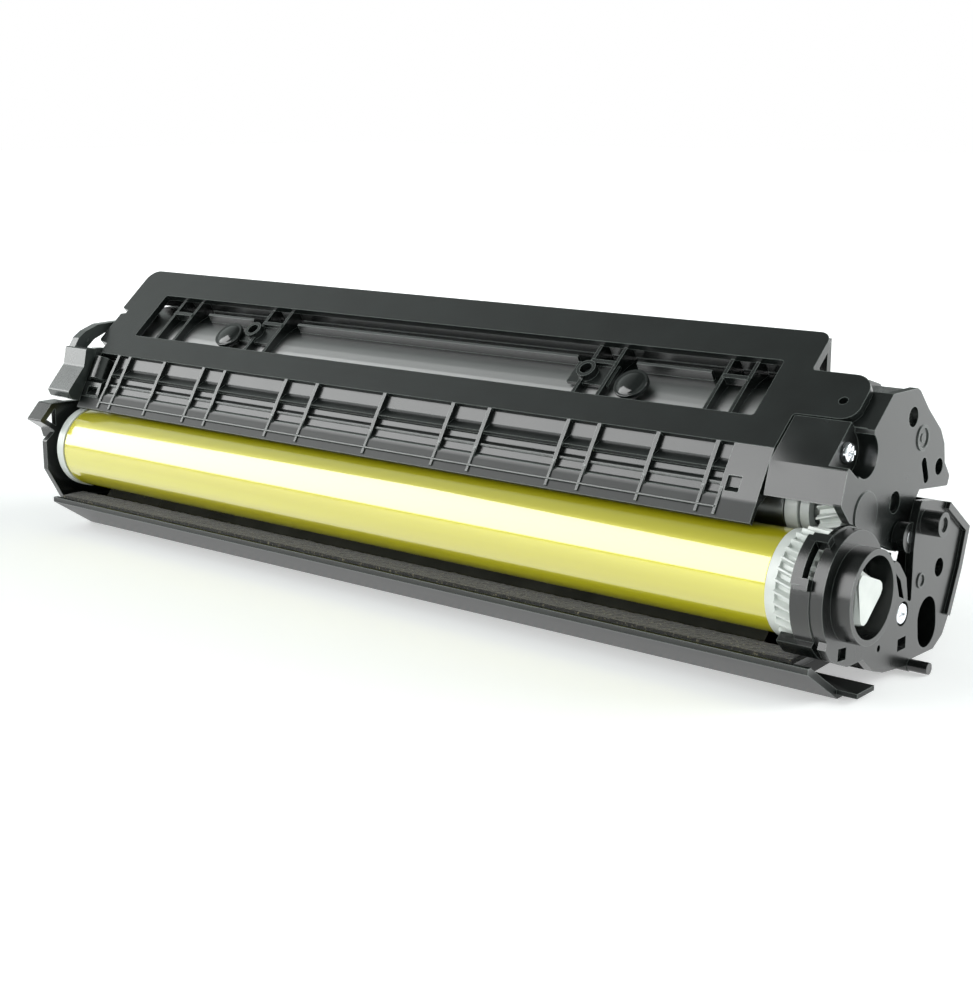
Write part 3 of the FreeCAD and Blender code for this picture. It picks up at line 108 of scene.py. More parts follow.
def mouldedPlastic(name, look):
    # moulded or cast plastic and rubber: tool texture, soft sheen, and a painted highlight that
    # makes rounded edges paler
    material, tree = startMaterial(name)
    place = addNode(tree, "ShaderNodeTexCoord").outputs["Object"]
    cloud = addNode(tree, "ShaderNodeTexNoise",
                    {"Scale": grainScale(look["cloud"]), "Detail": moulding["cloudDetail"]},
                    {"Vector": place})
    tint = addNode(tree, "ShaderNodeValToRGB", links={"Fac": cloud.outputs["Fac"]})
    for i, shade in enumerate(("dark", "light")):
        tint.color_ramp.elements[i].position = moulding["cloudStops"][i]
        tint.color_ramp.elements[i].color = linearColour(look[shade])
    rounded = addNode(tree, "ShaderNodeBevel", {"samples": moulding["edgeSamples"],
                                                "Radius": moulding["edgeRadius"] * millimetre})
    turn = addNode(tree, "ShaderNodeVectorMath", {"operation": "DOT_PRODUCT"})
    tree.links.new(rounded.outputs["Normal"], turn.inputs[0])
    tree.links.new(addNode(tree, "ShaderNodeNewGeometry").outputs["Normal"], turn.inputs[1])
    highlightStart, highlightFull = moulding["highlightTurn"]
    # painted highlight: as a rounded edge turns from the face, its colour is mixed towards the pale
    # edge colour
    edgeHighlightShare = addNode(tree, "ShaderNodeMapRange",
                     {"From Min": highlightStart, "From Max": highlightFull, "To Max": look["edgeHighlight"]},
                     {"Value": turn.outputs["Value"]})
    colour = addNode(tree, "ShaderNodeMix", {"data_type": "RGBA"})
    tree.links.new(edgeHighlightShare.outputs["Result"], colour.inputs["Factor"])
    tree.links.new(tint.outputs["Color"], colour.inputs[colourSockets["first"]])
    colour.inputs[colourSockets["second"]].default_value = linearColour(look["edge"])
    grain = addNode(tree, "ShaderNodeTexNoise",
                    {"Scale": grainScale(look["grain"]), "Detail": moulding["grainDetail"]},
                    {"Vector": place})
    bump = addNode(tree, "ShaderNodeBump",
                   {"Strength": look["bump"], "Distance": moulding["grainDepth"] * millimetre},
                   {"Height": grain.outputs["Fac"]})
    smoother, rougher = moulding["glossSpread"]
    gloss = addNode(tree, "ShaderNodeMapRange",
                    {"To Min": look["roughness"] - smoother, "To Max": look["roughness"] + rougher},
                    {"Value": cloud.outputs["Fac"]})
    shader = addNode(tree, "ShaderNodeBsdfPrincipled", {"IOR": look["ior"]},
                     {"Base Color": colour.outputs[colourSockets["result"]],
                      "Roughness": gloss.outputs["Result"], "Normal": bump.outputs["Normal"]})
    finishMaterial(tree, shader)
    return material


# what all turned or drawn metals share: how fine and how deep their lines are
turning = {"lineDetail": 2.0, "lineDepth": 0.02}


def spunMetal(name, look):
    # drawn or turned metal: fine lines round or along the piece
    material, tree = startMaterial(name)
    place = addNode(tree, "ShaderNodeTexCoord").outputs["Object"]
    stretch = addNode(tree, "ShaderNodeMapping", {"Scale": look["stretch"]}, {"Vector": place})
    lines = addNode(tree, "ShaderNodeTexNoise",
                    {"Scale": grainScale(look["line"]), "Detail": turning["lineDetail"]},
                    {"Vector": stretch.outputs["Vector"]})
    tint = addNode(tree, "ShaderNodeValToRGB", links={"Fac": lines.outputs["Fac"]})
    for i, shade in enumerate(("dark", "light")):
        tint.color_ramp.elements[i].color = linearColour(look[shade])
    bump = addNode(tree, "ShaderNodeBump",
                   {"Strength": look["bump"], "Distance": turning["lineDepth"] * millimetre},
                   {"Height": lines.outputs["Fac"]})
    shader = addNode(tree, "ShaderNodeBsdfPrincipled",
                     {"Metallic": 1.0, "Roughness": look["roughness"]},
                     {"Base Color": tint.outputs["Color"], "Normal": bump.outputs["Normal"]})
    finishMaterial(tree, shader)
    return material


def coatedDrum(name, look):
    # organic photoconductor dip-coated on an aluminium tube: wet gloss over a yellow-green layer
    material, tree = startMaterial(name)
    place = addNode(tree, "ShaderNodeTexCoord").outputs["Object"]
    along = addNode(tree, "ShaderNodeMapping", {"Scale": look["stretch"]}, {"Vector": place})
    streak = addNode(tree, "ShaderNodeTexNoise",
                     {"Scale": grainScale(look["streak"]), "Detail": look["detail"]},
                     {"Vector": along.outputs["Vector"]})
    tint = addNode(tree, "ShaderNodeValToRGB", links={"Fac": streak.outputs["Fac"]})
    for i, shade in enumerate(("dark", "light")):
        tint.color_ramp.elements[i].position = look["stops"][i]
        tint.color_ramp.elements[i].color = linearColour(look[shade])
    shader = addNode(tree, "ShaderNodeBsdfPrincipled",
                     {"Metallic": look["metallic"], "Roughness": look["roughness"],
                      "IOR": look["ior"], "Coat Weight": 1.0,
                      "Coat Roughness": look["coatRoughness"], "Coat IOR": look["coatIor"]},
                     {"Base Color": tint.outputs["Color"]})
    finishMaterial(tree, shader)
    return material


def needledFelt(name, look):
    # needle-punched felt: dark matted fibres with brown and pale specks
    material, tree = startMaterial(name)
    place = addNode(tree, "ShaderNodeTexCoord").outputs["Object"]
    fibre = addNode(tree, "ShaderNodeTexNoise",
                    {"Scale": grainScale(look["fibre"]), "Detail": look["detail"],
                     "Roughness": look["frizz"]}, {"Vector": place})
    tint = addNode(tree, "ShaderNodeValToRGB", links={"Fac": fibre.outputs["Fac"]})
    ramp = tint.color_ramp
    darkStop, middleStop, speckStop = look["stops"]
    ramp.elements[0].position, ramp.elements[0].color = darkStop, linearColour(look["dark"])
    ramp.elements[1].position, ramp.elements[1].color = middleStop, linearColour(look["middle"])
    ramp.elements.new(speckStop).color = linearColour(look["speck"])
    bump = addNode(tree, "ShaderNodeBump",
                   {"Strength": look["bump"], "Distance": look["pileDepth"] * millimetre},
                   {"Height": fibre.outputs["Fac"]})
    shader = addNode(tree, "ShaderNodeBsdfPrincipled",
                     {"Roughness": look["roughness"], "Sheen Weight": look["sheen"],
                      "Sheen Roughness": look["sheenRoughness"]},
                     {"Base Color": tint.outputs["Color"], "Normal": bump.outputs["Normal"]})
    finishMaterial(tree, shader)
    return material


# patterns (cloud, grain, line, streak, fibre) are in millimetres
# the edge colours below are painted highlights, laid on rounded edges
housingLook = {"dark": "#131615", "light": "#1b1f1e", "edge": "#868e8a", "cloud": 9.0,
               "grain": 0.35, "bump": 0.2, "edgeHighlight": 0.6, "roughness": 0.24, "ior": 1.58}
collarLook = dict(housingLook, dark="#0d0f0e", light="#141716", edgeHighlight=0.35)
blockLook = dict(housingLook, dark="#2f3433", light="#3a403e", edgeHighlight=0.4, ior=1.75)
polishedLook = dict(housingLook, roughness=0.1, bump=0.02, edgeHighlight=0.2)
acetalLook = {"dark": "#d3d8d4", "light": "#e2e6e2", "edge": "#eef0ee", "cloud": 6.0,
              "grain": 0.3, "bump": 0.08, "edgeHighlight": 0.3, "roughness": 0.3, "ior": 1.48}
greyAcetalLook = dict(acetalLook, dark="#b4b9b7", light="#c7cbca")
rubberLook = {"dark": "#141414", "light": "#1d1d1d", "edge": "#2a2a2a", "cloud": 5.0,
              "grain": 0.2, "bump": 0.2, "edgeHighlight": 0.2, "roughness": 0.6, "ior": 1.5}
urethaneLook = {"dark": "#8a6a3c", "light": "#9c7b49", "edge": "#b29562", "cloud": 8.0,
                "grain": 0.5, "bump": 0.05, "edgeHighlight": 0.3, "roughness": 0.35, "ior": 1.5}
filmLook = {"dark": "#2b2c2a", "light": "#393a37", "edge": "#55564f", "cloud": 12.0,
            "grain": 1.0, "bump": 0.05, "edgeHighlight": 0.2, "roughness": 0.15, "ior": 1.6}
drumLook = {"dark": "#aaa30c", "light": "#b3ae14", "stops": (0.35, 0.65), "streak": 6.0,
            "stretch": (0.02, 1.0, 1.0), "detail": 2.0, "metallic": 0.25, "roughness": 0.3,
            "ior": 1.6, "coatRoughness": 0.05, "coatIor": 1.9}
feltLook = {"dark": "#030303", "middle": "#12110d", "speck": "#90886a", "stops": (0.38, 0.56, 0.7),
            "fibre": 0.8, "detail": 6.0, "frizz": 0.7, "bump": 0.9, "pileDepth": 0.25,
            "roughness": 0.95, "sheen": 0.3, "sheenRoughness": 0.5}
steelLook = {"dark": "#8f9294", "light": "#b9bcbd", "line": 0.25, "stretch": (1.0, 12.0, 12.0),
             "bump": 0.2, "roughness": 0.28}
zincLook = {"dark": "#9a9fa3", "light": "#c3c8cc", "line": 0.8, "stretch": (1.0, 1.0, 1.0),
            "bump": 0.1, "roughness": 0.35}
chromeLook = {"dark": "#d3d6da", "light": "#e8eaee", "line": 0.4, "stretch": (1.0, 1.0, 1.0),
              "bump": 0.05, "roughness": 0.12}
sleeveLook = {"dark": "#6f7271", "light": "#8b8f8d", "line": 0.2, "stretch": (1.0, 1.0, 1.0),
              "bump": 0.35, "roughness": 0.42}
ferriteLook = {"dark": "#2c2c2e", "light": "#3a3a3c", "line": 0.5, "stretch": (1.0, 1.0, 1.0),
               "bump": 0.2, "roughness": 0.5}

blackAbs = mouldedPlastic("mouldedBlackAbs", housingLook)
collarAbs = mouldedPlastic("mouldedCollarAbs", collarLook)
blockAbs = mouldedPlastic("mouldedGreyAbs", blockLook)
whiteAcetal = mouldedPlastic("mouldedWhiteAcetal", acetalLook)
greyAcetal = mouldedPlastic("mouldedGreyAcetal", greyAcetalLook)
conductiveRubber = mouldedPlastic("groundConductiveRubber", rubberLook)
castUrethane = mouldedPlastic("castUrethane", urethaneLook)
polyesterFilm = mouldedPlastic("polyesterFilm", filmLook)
drumCoat = coatedDrum("photoconductorCoat", drumLook)
feltPad = needledFelt("needledFelt", feltLook)
groundSteel = spunMetal("groundSteel", steelLook)
zincSheet = spunMetal("zincPlatedSheet", zincLook)
brightChrome = spunMetal("brightChrome", chromeLook)
blastedAluminium = spunMetal("blastedAluminium", sleeveLook)
sinteredFerrite = spunMetal("sinteredFerrite", ferriteLook)


def paintedSheenPlastic(name, look, zone):
    # one moulding with painted sheen or painted shade across a line, where its reflection is raised
    # or lowered: zone gives the axis, the line's two ends in millimetres and the sheen below it
    material = mouldedPlastic(name, look)
    tree = material.node_tree
    shader = next(node for node in tree.nodes if node.bl_idname == "ShaderNodeBsdfPrincipled")
    split = addNode(tree, "ShaderNodeSeparateXYZ")
    tree.links.new(addNode(tree, "ShaderNodeTexCoord").outputs["Object"], split.inputs[0])
    low, high = [edge * millimetre for edge in zone["line"]]
    for socket, field in (("IOR", "ior"), ("Roughness", "roughness")):
        fade = addNode(tree, "ShaderNodeMapRange",
                       {"From Min": low, "From Max": high, "To Min": zone[field],
                        "To Max": look[field]}, {"Value": split.outputs[zone["axis"]]})
        tree.links.new(fade.outputs["Result"], shader.inputs[socket])
    return material


# painted sheen and shade by place: the hopper's crown under the window is satin with its reflection
# raised, a painted sheen; the cover's lip and the bin's underside are matt with their reflection
# lowered, painted shade
crownPaintedSheen = {"axis": "Y", "line": (19.5, 25.5), "ior": 3.6, "roughness": 0.42}
lipPaintedShade = {"axis": "Z", "line": (16.8, 17.6), "ior": 1.36, "roughness": 0.42}
binPaintedShade = {"axis": "Z", "line": (-17.0, -15.0), "ior": 1.28, "roughness": 0.45}
hopperResin = paintedSheenPlastic("tonerHopperResin", housingLook, crownPaintedSheen)
coverResin = paintedSheenPlastic("frontCoverResin", housingLook, lipPaintedShade)
binResin = paintedSheenPlastic("wasteBinResin", housingLook, binPaintedShade)
polishedAbs = mouldedPlastic("polishedBlackAbs", polishedLook)
print("materials made:", len(bpy.data.materials))

finishes = {
    blackAbs: "free_end_bracket drive_end_cap",
    binResin: "waste_bin",
    coverResin: "front_cover",
    hopperResin: "toner_hopper",
    collarAbs: "drive_end_bracket",
    blockAbs: "free_end_cap",
    whiteAcetal: "drive_flange free_flange idler_gear agitator_gear developer_gear "
                 "charge_saddle_drive charge_saddle_free fill_plug",
    greyAcetal: "spacer_ring_drive spacer_ring_free developer_bearing_drive developer_bearing_free",
    conductiveRubber: "charge_roller_sleeve",
    castUrethane: "cleaning_blade doctor_blade",
    polyesterFilm: "recovery_film developer_lip_film agitator_film",
    drumCoat: "drum_tube",
    feltPad: "felt_strip",
    groundSteel: "drum_axle charge_roller_shaft hinge_pin_drive hinge_pin_free agitator_shaft "
                 "charge_spring_drive charge_spring_free pressure_spring_drive "
                 "pressure_spring_free",
    zincSheet: "cleaning_blade_bracket doctor_bracket",
    brightChrome: "blade_screws bracket_screw_drive bracket_screws_free cap_screw_drive "
                  "cap_screws_free",
    blastedAluminium: "developer_sleeve sleeve_journal_drive sleeve_journal_free",
    sinteredFerrite: "magnet_core",
}

# moulded edges are rounded a little, once the weld has closed the import's seams and its flats
# are whole again
edgeRounding = {"weld": 0.002, "flat": 0.2, "moulding": 0.3, "small": 0.1, "angle": 35,
                "segments": 3, "weight": 100}
smallPieces = "drive_flange free_flange idler_gear agitator_gear developer_gear".split()
for material, names in finishes.items():
    for name in names.split():
        node = nodes[name]
        node.data.materials.clear()
        node.data.materials.append(material)
        weld = node.modifiers.new("seams", "WELD")
        weld.merge_threshold = edgeRounding["weld"] * millimetre
        if "spring" in name or "film" in name:
            continue
        flats = node.modifiers.new("flats", "DECIMATE")
        flats.decimate_type = "DISSOLVE"
        flats.angle_limit = math.radians(edgeRounding["flat"])
        bevel = node.modifiers.new("edges", "BEVEL")
        bevel.width = edgeRounding["small" if name in smallPieces else "moulding"] * millimetre
        bevel.segments = edgeRounding["segments"]
        bevel.limit_method = "ANGLE"
        bevel.angle_limit = math.radians(edgeRounding["angle"])
        normals = node.modifiers.new("shading", "WEIGHTED_NORMAL")
        normals.weight = edgeRounding["weight"]
print("finishes on the fixed pieces")

# pieces made here: the first seven stand for plainer solids, the last three add to the mouldings


def millimetres(*place):
    return Vector([c * millimetre for c in place])


def inMillimetres(corners):
    return [Vector(corner) / millimetre for corner in corners]


def addPiece(name, mesh, body, material, slotName, *stoodFor):
    mesh.normal_update()
    data = bpy.data.meshes.new(name)
    mesh.to_mesh(data)
    mesh.free()
    piece = bpy.data.objects.new(name, data)
    bpy.context.collection.objects.link(piece)
    data.materials.append(material)
    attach(piece, body)
    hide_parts(*stoodFor)
    return piece


def turnedRings(mesh, base, outward, outline, sides, dent=None, closed=False):
    # outline runs as (distance along outward, radius) in millimetres; dent gives a depth for a
    # point of the face
    outward = Vector(outward).normalized()
    liesAlongX = abs(outward.x) > 0.9
    across = Vector((0, 0, 1)) if liesAlongX else outward.orthogonal().normalized()
    other = outward.cross(across)
    rings = []
    for along, radius in outline:
        ring = []
        for side in range(sides):
            turn = 2 * math.pi * side / sides
            u, v = radius * math.cos(turn), radius * math.sin(turn)
            depth = dent(u, v) if dent else 0.0
            spot = across * u + other * v + outward * (along - depth)
            ring.append(mesh.verts.new((spot + Vector(base)) * millimetre))
        rings.append(ring)
    pairs = list(zip(rings, rings[1:]))
    if closed:
        pairs.append((rings[-1], rings[0]))
    for low, high in pairs:
        for side in range(sides):
            after = (side + 1) % sides
            face = mesh.faces.new((low[side], low[after], high[after], high[side]))
            face.smooth = True
    if not closed:
        for ring in (rings[0][::-1], rings[-1]):
            mesh.faces.new(ring)
    bmesh.ops.recalc_face_normals(mesh, faces=mesh.faces)


# the coated tube, turned smooth: the solid's own facets would show in its long highlight, and
# rings close to its ends keep the highlight straight there
drumTube = {"sides": 256, "edge": 0.2, "wall": 0.8, "rings": 12}
tubeLow, tubeHigh = inMillimetres(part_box("drum_tube"))
tube = bmesh.new()
outer, edge = tubeHigh.z, drumTube["edge"]
inner = outer - drumTube["wall"]
tubeOutline = [(0, inner), (0, outer - edge), (edge, outer), (2 * edge, outer)]
length = tubeHigh.x - tubeLow.x
tubeOutline += [(length * i / drumTube["rings"], outer) for i in range(1, drumTube["rings"])]
tubeOutline += [(length - 2 * edge, outer), (length - edge, outer), (length, outer - edge),
                (length, inner)]
turnedRings(tube, (tubeLow.x, 0, 0), (1, 0, 0), tubeOutline, drumTube["sides"], closed=True)
coatedTube = addPiece("coatedTube", tube, "drum", drumCoat, "drum_coating", "drum_tube")
print("drum tube turned")

# cross-head screws: pan heads with a pressed recess; headSide runs as shares of the head's height
# and radius, and the face above it domes by the share crown inside the share face
screwLook = {"headRadius": 2.65, "headHeight": 1.45, "shankRadius": 1.4, "recessReach": 1.45,
             "recessHalf": 0.36, "recessDepth": 0.85, "recessSlope": 0.16, "sides": 64,
             "rings": 16, "shankSides": 24, "crown": 0.16, "face": 0.8, "tip": 0.01,
             "headSide": [(0, 1), (0.35, 1), (0.6, 0.96), (0.8, 0.88)]}


def recessDepth(u, v):
    # depth of the cross recess under a point of the head's face
    reachOut, half = screwLook["recessReach"], screwLook["recessHalf"]
    far = min(max(abs(u) - reachOut, abs(v) - half), max(abs(u) - half, abs(v) - reachOut))
    slope = screwLook["recessSlope"]
    share = min(max((slope - far) / (2 * slope), 0.0), 1.0)
    return screwLook["recessDepth"] * share


def addScrews(name, seats, shank, body, stoodFor, headRadius=screwLook["headRadius"],
              headHeight=screwLook["headHeight"]):
    mesh = bmesh.new()
    shankRadius, rings = screwLook["shankRadius"], screwLook["rings"]
    for place, outward in seats:
        head = [(headHeight * up, headRadius * wide) for up, wide in screwLook["headSide"]]
        for ring in range(rings):
            share = 1 - ring / rings
            head.append((headHeight * (1 - screwLook["crown"] * share ** 2),
                         headRadius * screwLook["face"] * share + screwLook["tip"]))
        turnedRings(mesh, place, outward, head, screwLook["sides"], recessDepth)
        turnedRings(mesh, place, outward, [(-shank, shankRadius), (0, shankRadius)],
                    screwLook["shankSides"])
    return addPiece(name, mesh, body, brightChrome, "screw_chrome", stoodFor)


towardsDrive, towardsFree, towardsFront = (1, 0, 0), (-1, 0, 0), (0, -1, 0)
addScrews("capScrewDrive", seats=[((-14.0, 11.4, 28.6), towardsDrive)], shank=6.4,
          body="toner_unit", stoodFor="cap_screw_drive")
addScrews("bracketScrewDrive", seats=[((-5.9, 24.5, -10.2), towardsDrive)], shank=11.0,
          body="drum_unit", stoodFor="bracket_screw_drive")
addScrews("bracketScrewsFree",
          seats=[((-276.0, 24.5, -10.2), towardsFree), ((-276.0, 40.0, -18.0), towardsFree)],
          shank=7.9, body="drum_unit", stoodFor="bracket_screws_free")
addScrews("capScrewsFree",
          seats=[((-270.0, 33.5, 36.3), towardsFree), ((-270.0, 52.0, 18.6), towardsFree)],
          shank=3.4, body="toner_unit", stoodFor="cap_screws_free", headHeight=1.35)
addScrews("bladeScrews",
          seats=[((-256.0, 19.4, -14.0), towardsFront), ((-32.0, 19.4, -14.0), towardsFront)],
          shank=2.9, body="drum_unit", stoodFor="blade_screws", headRadius=2.35, headHeight=1.25)
print("screws turned")

# the felt strip: a matted pile with a rough top, cut square at its edges
feltStrip = {"step": 0.5, "roughness": 0.32, "clump": 1.1}
feltLow, feltHigh = inMillimetres(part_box("felt_strip"))
pile = bmesh.new()
columns = int((feltHigh.x - feltLow.x) / feltStrip["step"])
rows = int((feltHigh.y - feltLow.y) / feltStrip["step"]) + 1
top = []
for column in range(columns + 1):
    line = []
    for row in range(rows + 1):
        x = feltLow.x + (feltHigh.x - feltLow.x) * column / columns
        y = feltLow.y + (feltHigh.y - feltLow.y) * row / rows
        # noise runs from -1 to 1, a wisp from 0 to 1
        wisp = 0.5 + 0.5 * noise.noise(Vector((x, y, 0)) / feltStrip["clump"])
        spot = millimetres(x, y, feltHigh.z - feltStrip["roughness"] * wisp)
        line.append(pile.verts.new(spot))
    top.append(line)
for left, right in zip(top, top[1:]):
    for row in range(rows):
        face = pile.faces.new((left[row], right[row], right[row + 1], left[row + 1]))
        face.smooth = True
rim = ([line[0] for line in top] + top[-1][1:] + [line[-1] for line in top[-2::-1]]
       + top[0][-2:0:-1])
foot = [pile.verts.new((v.co.x, v.co.y, feltLow.z * millimetre)) for v in rim]
for i in range(len(rim)):
    after = (i + 1) % len(rim)
    pile.faces.new((rim[i], foot[i], foot[after], rim[after]))
pile.faces.new(foot[::-1])
bmesh.ops.recalc_face_normals(pile, faces=pile.faces)
addPiece("feltPile", pile, "drum_unit", feltPad, "felt", "felt_strip")
print("felt laid")


def runAlong(mesh, shape, start, end):
    # a closed (y, z) shape, run along x from start to end, all in millimetres
    rims = [[mesh.verts.new(millimetres(x, y, z)) for y, z in shape] for x in (start, end)]
    for i in range(len(shape)):
        after = (i + 1) % len(shape)
        mesh.faces.new((rims[0][i], rims[0][after], rims[1][after], rims[1][i]))
    mesh.faces.new(rims[0][::-1])
    mesh.faces.new(rims[1])


def softenEdges(piece, softness):
    rounding = piece.modifiers.new("rounding", "BEVEL")
    rounding.width = softness["radius"] * millimetre
    rounding.segments = softness["segments"]


louvreSoftness = {"radius": 0.12, "segments": 2}

# the louvre: stepped panels between the cover's ribs, seen from the front
louvre = {"ends": (-260.8, -38.9),
          "steps": [(6.6, 28.5), (4.45, 25.0), (4.45, 23.5), (3.1, 22.9), (1.8, 20.8), (0.6, 20.3),
                    (0.5, 19.8), (1.0, 19.7), (-0.2, 18.0), (-0.9, 17.5), (1.5, 17.9), (4.0, 20.2),
                    (7.6, 27.0), (7.5, 28.6)]}
panels = bmesh.new()
runAlong(panels, louvre["steps"], *louvre["ends"])
bmesh.ops.recalc_face_normals(panels, faces=panels.faces)
louvrePanels = addPiece("louvrePanels", panels, "toner_unit", blackAbs, "hopper_shell")
softenEdges(louvrePanels, louvreSoftness)

# the louvre's ribs run out over the lip, with one more slat; a reach is measured from the tube's
# free end, or from its drive end where it is negative
lip = {"reaches": (7.2, 12.5, 28.7, 46.2, 55.5, 81.1, 93.5, 119.1, -104.6, -92.4, -67.1, -57.7,
                   -40.4, -23.8, -18.9),
       "half": 0.45,
       "rib": [(-0.5, 19.6), (-2.5, 16.7), (-4.35, 13.7), (-3.9, 13.5), (-1.6, 17.2)],
       "slat": [(-3.45, 15.6), (-3.7, 15.15), (-2.9, 14.9), (-2.6, 15.4)]}
lipTrim = bmesh.new()
ribPlaces = [(tubeHigh.x if reach < 0 else tubeLow.x) + reach for reach in lip["reaches"]]
for x in ribPlaces:
    runAlong(lipTrim, lip["rib"], x - lip["half"], x + lip["half"])
runAlong(lipTrim, lip["slat"], ribPlaces[0], ribPlaces[-1])
bmesh.ops.recalc_face_normals(lipTrim, faces=lipTrim.faces)
lipRibs = addPiece("lipRibs", lipTrim, "toner_unit", blackAbs, "hopper_shell")
softenEdges(lipRibs, louvreSoftness)
print("louvre stepped")

# polished domes in the hopper's two discs, which lie square to the cover; down and out are
# measured from the cover's upper corner, along the cover and square to it
discDome = {"rim": [(-1.3, 4.56), (0.12, 4.56), (0.25, 4.35), (0.05, 3.9)], "radius": 3.7,
            "rise": 0.95, "tip": 0.01, "rings": 12, "sides": 72, "places": (-223.6, -77.0),
            "coverAngle": 40.0, "coverCorner": (33.0, 52.0), "down": 21.6, "out": -1.2}
coverTurn = math.radians(discDome["coverAngle"])
squareOut = (0, -math.sin(coverTurn), math.cos(coverTurn))
cornerY, cornerZ = discDome["coverCorner"]
down, out = discDome["down"], discDome["out"]
discY = cornerY - down * math.cos(coverTurn) - out * math.sin(coverTurn)
discZ = cornerZ - down * math.sin(coverTurn) + out * math.cos(coverTurn)
domes = bmesh.new()
for discX in discDome["places"]:
    profile = list(discDome["rim"])
    for ring in range(1, discDome["rings"] + 1):
        lean = math.pi / 2 * ring / discDome["rings"]
        profile.append((discDome["rise"] * math.sin(lean),
                        discDome["radius"] * math.cos(lean) + discDome["tip"]))
    turnedRings(domes, (discX, discY, discZ), squareOut, profile, discDome["sides"])
addPiece("discDomes", domes, "toner_unit", polishedAbs, "hopper_shell")
print("domes turned")

# floor, lamps and camera, in metres

floorHeight = boundsAtLoad[0][2]
sweep = {"reach": 4.0, "paper": "#eceeee", "centre": (-0.14, 0.02), "glowNear": 0.42,
         "glowFar": 1.0, "near": 0.3, "far": 0.9, "mirrored": 1.0}
reach = sweep["reach"]
floorMesh = bpy.data.meshes.new("floor")
floorMesh.from_pydata([(-reach, -reach, floorHeight), (reach, -reach, floorHeight),
                       (reach, reach, floorHeight), (-reach, reach, floorHeight)],
                      [], [(0, 1, 2, 3)])
floor = bpy.data.objects.new("floor", floorMesh)
bpy.context.collection.objects.link(floor)


def mirrorRays(tree):
    # the light path, and a value that is 1 for rays that left a glossy or clear face
    path = addNode(tree, "ShaderNodeLightPath")
    mirrored = addNode(tree, "ShaderNodeMath", {"operation": "MAXIMUM"})
    tree.links.new(path.outputs["Is Glossy Ray"], mirrored.inputs[0])
    tree.links.new(path.outputs["Is Transmission Ray"], mirrored.inputs[1])
    return path, mirrored


def paperSweep(name):
    # white paper sweep: the camera and mirrors also see it glow a little, so that it fades to
    # white and keeps the shadow
    material, tree = startMaterial(name)
    matte = addNode(tree, "ShaderNodeBsdfDiffuse", {"Color": linearColour(sweep["paper"])})
    path, mirrored = mirrorRays(tree)
    place = addNode(tree, "ShaderNodeTexCoord").outputs["Object"]
    away = addNode(tree, "ShaderNodeVectorMath", {"operation": "DISTANCE"})
    tree.links.new(place, away.inputs[0])
    away.inputs[1].default_value = (*sweep["centre"], floorHeight)
    glow = addNode(tree, "ShaderNodeMapRange",
                   {"From Min": sweep["near"], "From Max": sweep["far"],
                    "To Min": sweep["glowNear"], "To Max": sweep["glowFar"]},
                   {"Value": away.outputs["Value"]})
    seen = addNode(tree, "ShaderNodeMath", {"operation": "MULTIPLY"})
    tree.links.new(glow.outputs["Result"], seen.inputs[0])
    tree.links.new(path.outputs["Is Camera Ray"], seen.inputs[1])
    strength = addNode(tree, "ShaderNodeMath", {"operation": "MULTIPLY_ADD"})
    tree.links.new(mirrored.outputs[0], strength.inputs[0])
    strength.inputs[1].default_value = sweep["mirrored"]
    tree.links.new(seen.outputs[0], strength.inputs[2])
    shine = addNode(tree, "ShaderNodeEmission", {"Color": linearColour("#ffffff")},
                    {"Strength": strength.outputs[0]})
    both = addNode(tree, "ShaderNodeAddShader")
    tree.links.new(matte.outputs[0], both.inputs[0])
    tree.links.new(shine.outputs[0], both.inputs[1])
    finishMaterial(tree, both)
    return material


floor.data.materials.append(paperSweep("paperSweep"))

# walls run over the direction's X from -1 to 1: stops are the shares of it where each one ends
studio = {"leftWall": 0.85, "middle": 0.16, "rightWall": 1.0, "wallStops": (0.08, 0.92),
          "middleStops": (0.3, 0.62), "tint": (0.92, 1.0, 0.97), "ambient": 0.36,
          "ambientColour": "#ecf7f2", "backdrop": "#ffffff"}


def wallColour(wall):
    return [studio[wall] * channel for channel in studio["tint"]] + [1.0]


def studioWorld(name):
    # glossy faces mirror pale walls at both ends and a darker middle, the camera sees white
    world = bpy.data.worlds.new(name)
    bpy.context.scene.world = world
    world.use_nodes = True
    tree = world.node_tree
    tree.nodes.clear()
    path, mirrored = mirrorRays(tree)
    direction = addNode(tree, "ShaderNodeSeparateXYZ")
    tree.links.new(addNode(tree, "ShaderNodeTexCoord").outputs["Generated"], direction.inputs[0])
    across = addNode(tree, "ShaderNodeMapRange", {"From Min": -1.0, "From Max": 1.0},
                     {"Value": direction.outputs["X"]})
    walls = addNode(tree, "ShaderNodeValToRGB", links={"Fac": across.outputs["Result"]})
    ramp = walls.color_ramp
    for i, wall in enumerate(("leftWall", "rightWall")):
        ramp.elements[i].position, ramp.elements[i].color = studio["wallStops"][i], wallColour(wall)
    for position in studio["middleStops"]:
        ramp.elements.new(position).color = wallColour("middle")
    room = addNode(tree, "ShaderNodeBackground", {"Strength": 1.0},
                   {"Color": walls.outputs["Color"]})
    white = addNode(tree, "ShaderNodeBackground",
                    {"Color": linearColour(studio["backdrop"]), "Strength": 1.0})
    ambient = addNode(tree, "ShaderNodeBackground",
                      {"Color": linearColour(studio["ambientColour"]),
                       "Strength": studio["ambient"]})
    lit = addNode(tree, "ShaderNodeMixShader", links={"Fac": mirrored.outputs[0]})
    tree.links.new(ambient.outputs[0], lit.inputs[1])
    tree.links.new(room.outputs[0], lit.inputs[2])
    choice = addNode(tree, "ShaderNodeMixShader", links={"Fac": path.outputs["Is Camera Ray"]})
    tree.links.new(lit.outputs[0], choice.inputs[1])
    tree.links.new(white.outputs[0], choice.inputs[2])
    addNode(tree, "ShaderNodeOutputWorld", links={"Surface": choice.outputs[0]})


studioWorld("studio")


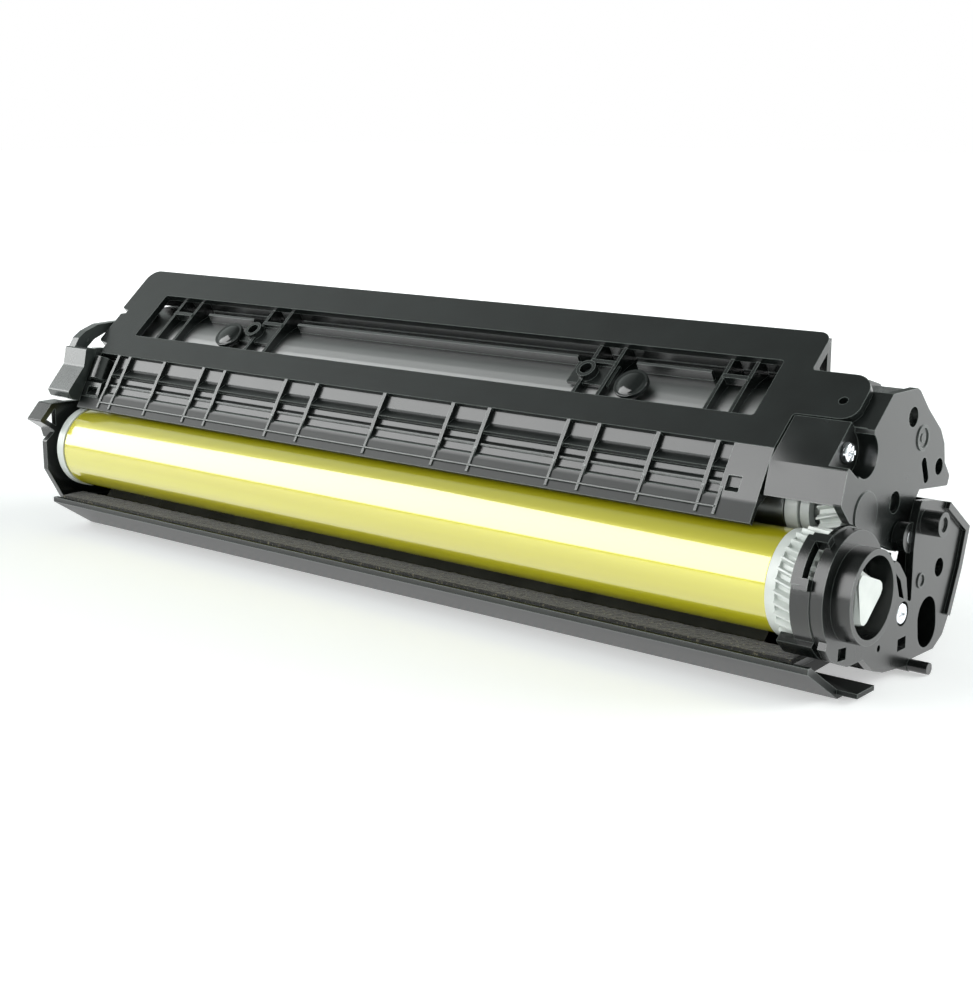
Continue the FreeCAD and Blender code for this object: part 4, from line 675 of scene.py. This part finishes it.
def addSoftbox(name, place, target, width, height, watts, lights=True, mirrored=True):
    lamp = bpy.data.lights.new(name, "AREA")
    lamp.shape = "RECTANGLE"
    lamp.size = width
    lamp.size_y = height
    lamp.energy = watts
    box = bpy.data.objects.new(name, lamp)
    box.location = place
    aim = (Vector(target) - Vector(place)).to_track_quat("-Z", "Y")
    box.rotation_euler = aim.to_euler()
    box.visible_diffuse = lights
    box.visible_glossy = mirrored
    bpy.context.collection.objects.link(box)
    return box


# a tall softbox at the front left: its mirror image is the long band on the drum. The lamp that
# makes the image stands in front of the one that lights, because two lamps in one place hide it
keyHeight = 1.35
addSoftbox("frontLeftSheen", place=(-1.504, -1.448, keyHeight), target=(-0.14, 0.015, keyHeight),
           width=2.3, height=2.4, watts=90.0, lights=False)
addSoftbox("frontLeftSoftbox", place=(-1.57, -1.52, keyHeight), target=(-0.14, 0.015, keyHeight),
           width=2.4, height=2.5, watts=45.0, mirrored=False)
addSoftbox("lowFrontFill", place=(0.0, -1.7, 0.3), target=(-0.14, 0.015, 0.0),
           width=2.2, height=0.6, watts=7.0, mirrored=False)
drumFill = addSoftbox("drumFill", place=(-0.14, -1.2, 0.05), target=(-0.14, 0.0, -0.01),
                      width=1.8, height=0.25, watts=13.0, mirrored=False)
drumOnly = bpy.data.collections.new("drumOnly")
drumOnly.objects.link(coatedTube)
drumFill.light_linking.receiver_collection = drumOnly
addSoftbox("rightBackSoftbox", place=(1.2, 1.15, 0.6), target=(-0.14, 0.015, 0.01),
           width=1.6, height=1.2, watts=33.0)

# the photo's camera: angles in degrees, lens and sensor in millimetres
photo = {"place": (0.165146, -0.332693, 0.104823), "azimuth": 39.499, "elevation": 12.922,
         "lens": 62.26, "sensor": 36.0, "clipStart": 0.01}
camera = bpy.data.objects.new("photoCamera", bpy.data.cameras.new("photoCamera"))
camera.data.sensor_width = photo["sensor"]
camera.data.lens = photo["lens"]
camera.data.clip_start = photo["clipStart"]
camera.location = photo["place"]
levelTilt = 90 - photo["elevation"]
camera.rotation_euler = (math.radians(levelTilt), 0, math.radians(photo["azimuth"]))
bpy.context.collection.objects.link(camera)
bpy.context.scene.camera = camera
bpy.context.scene.view_settings.view_transform = "Standard"
print("stage set")
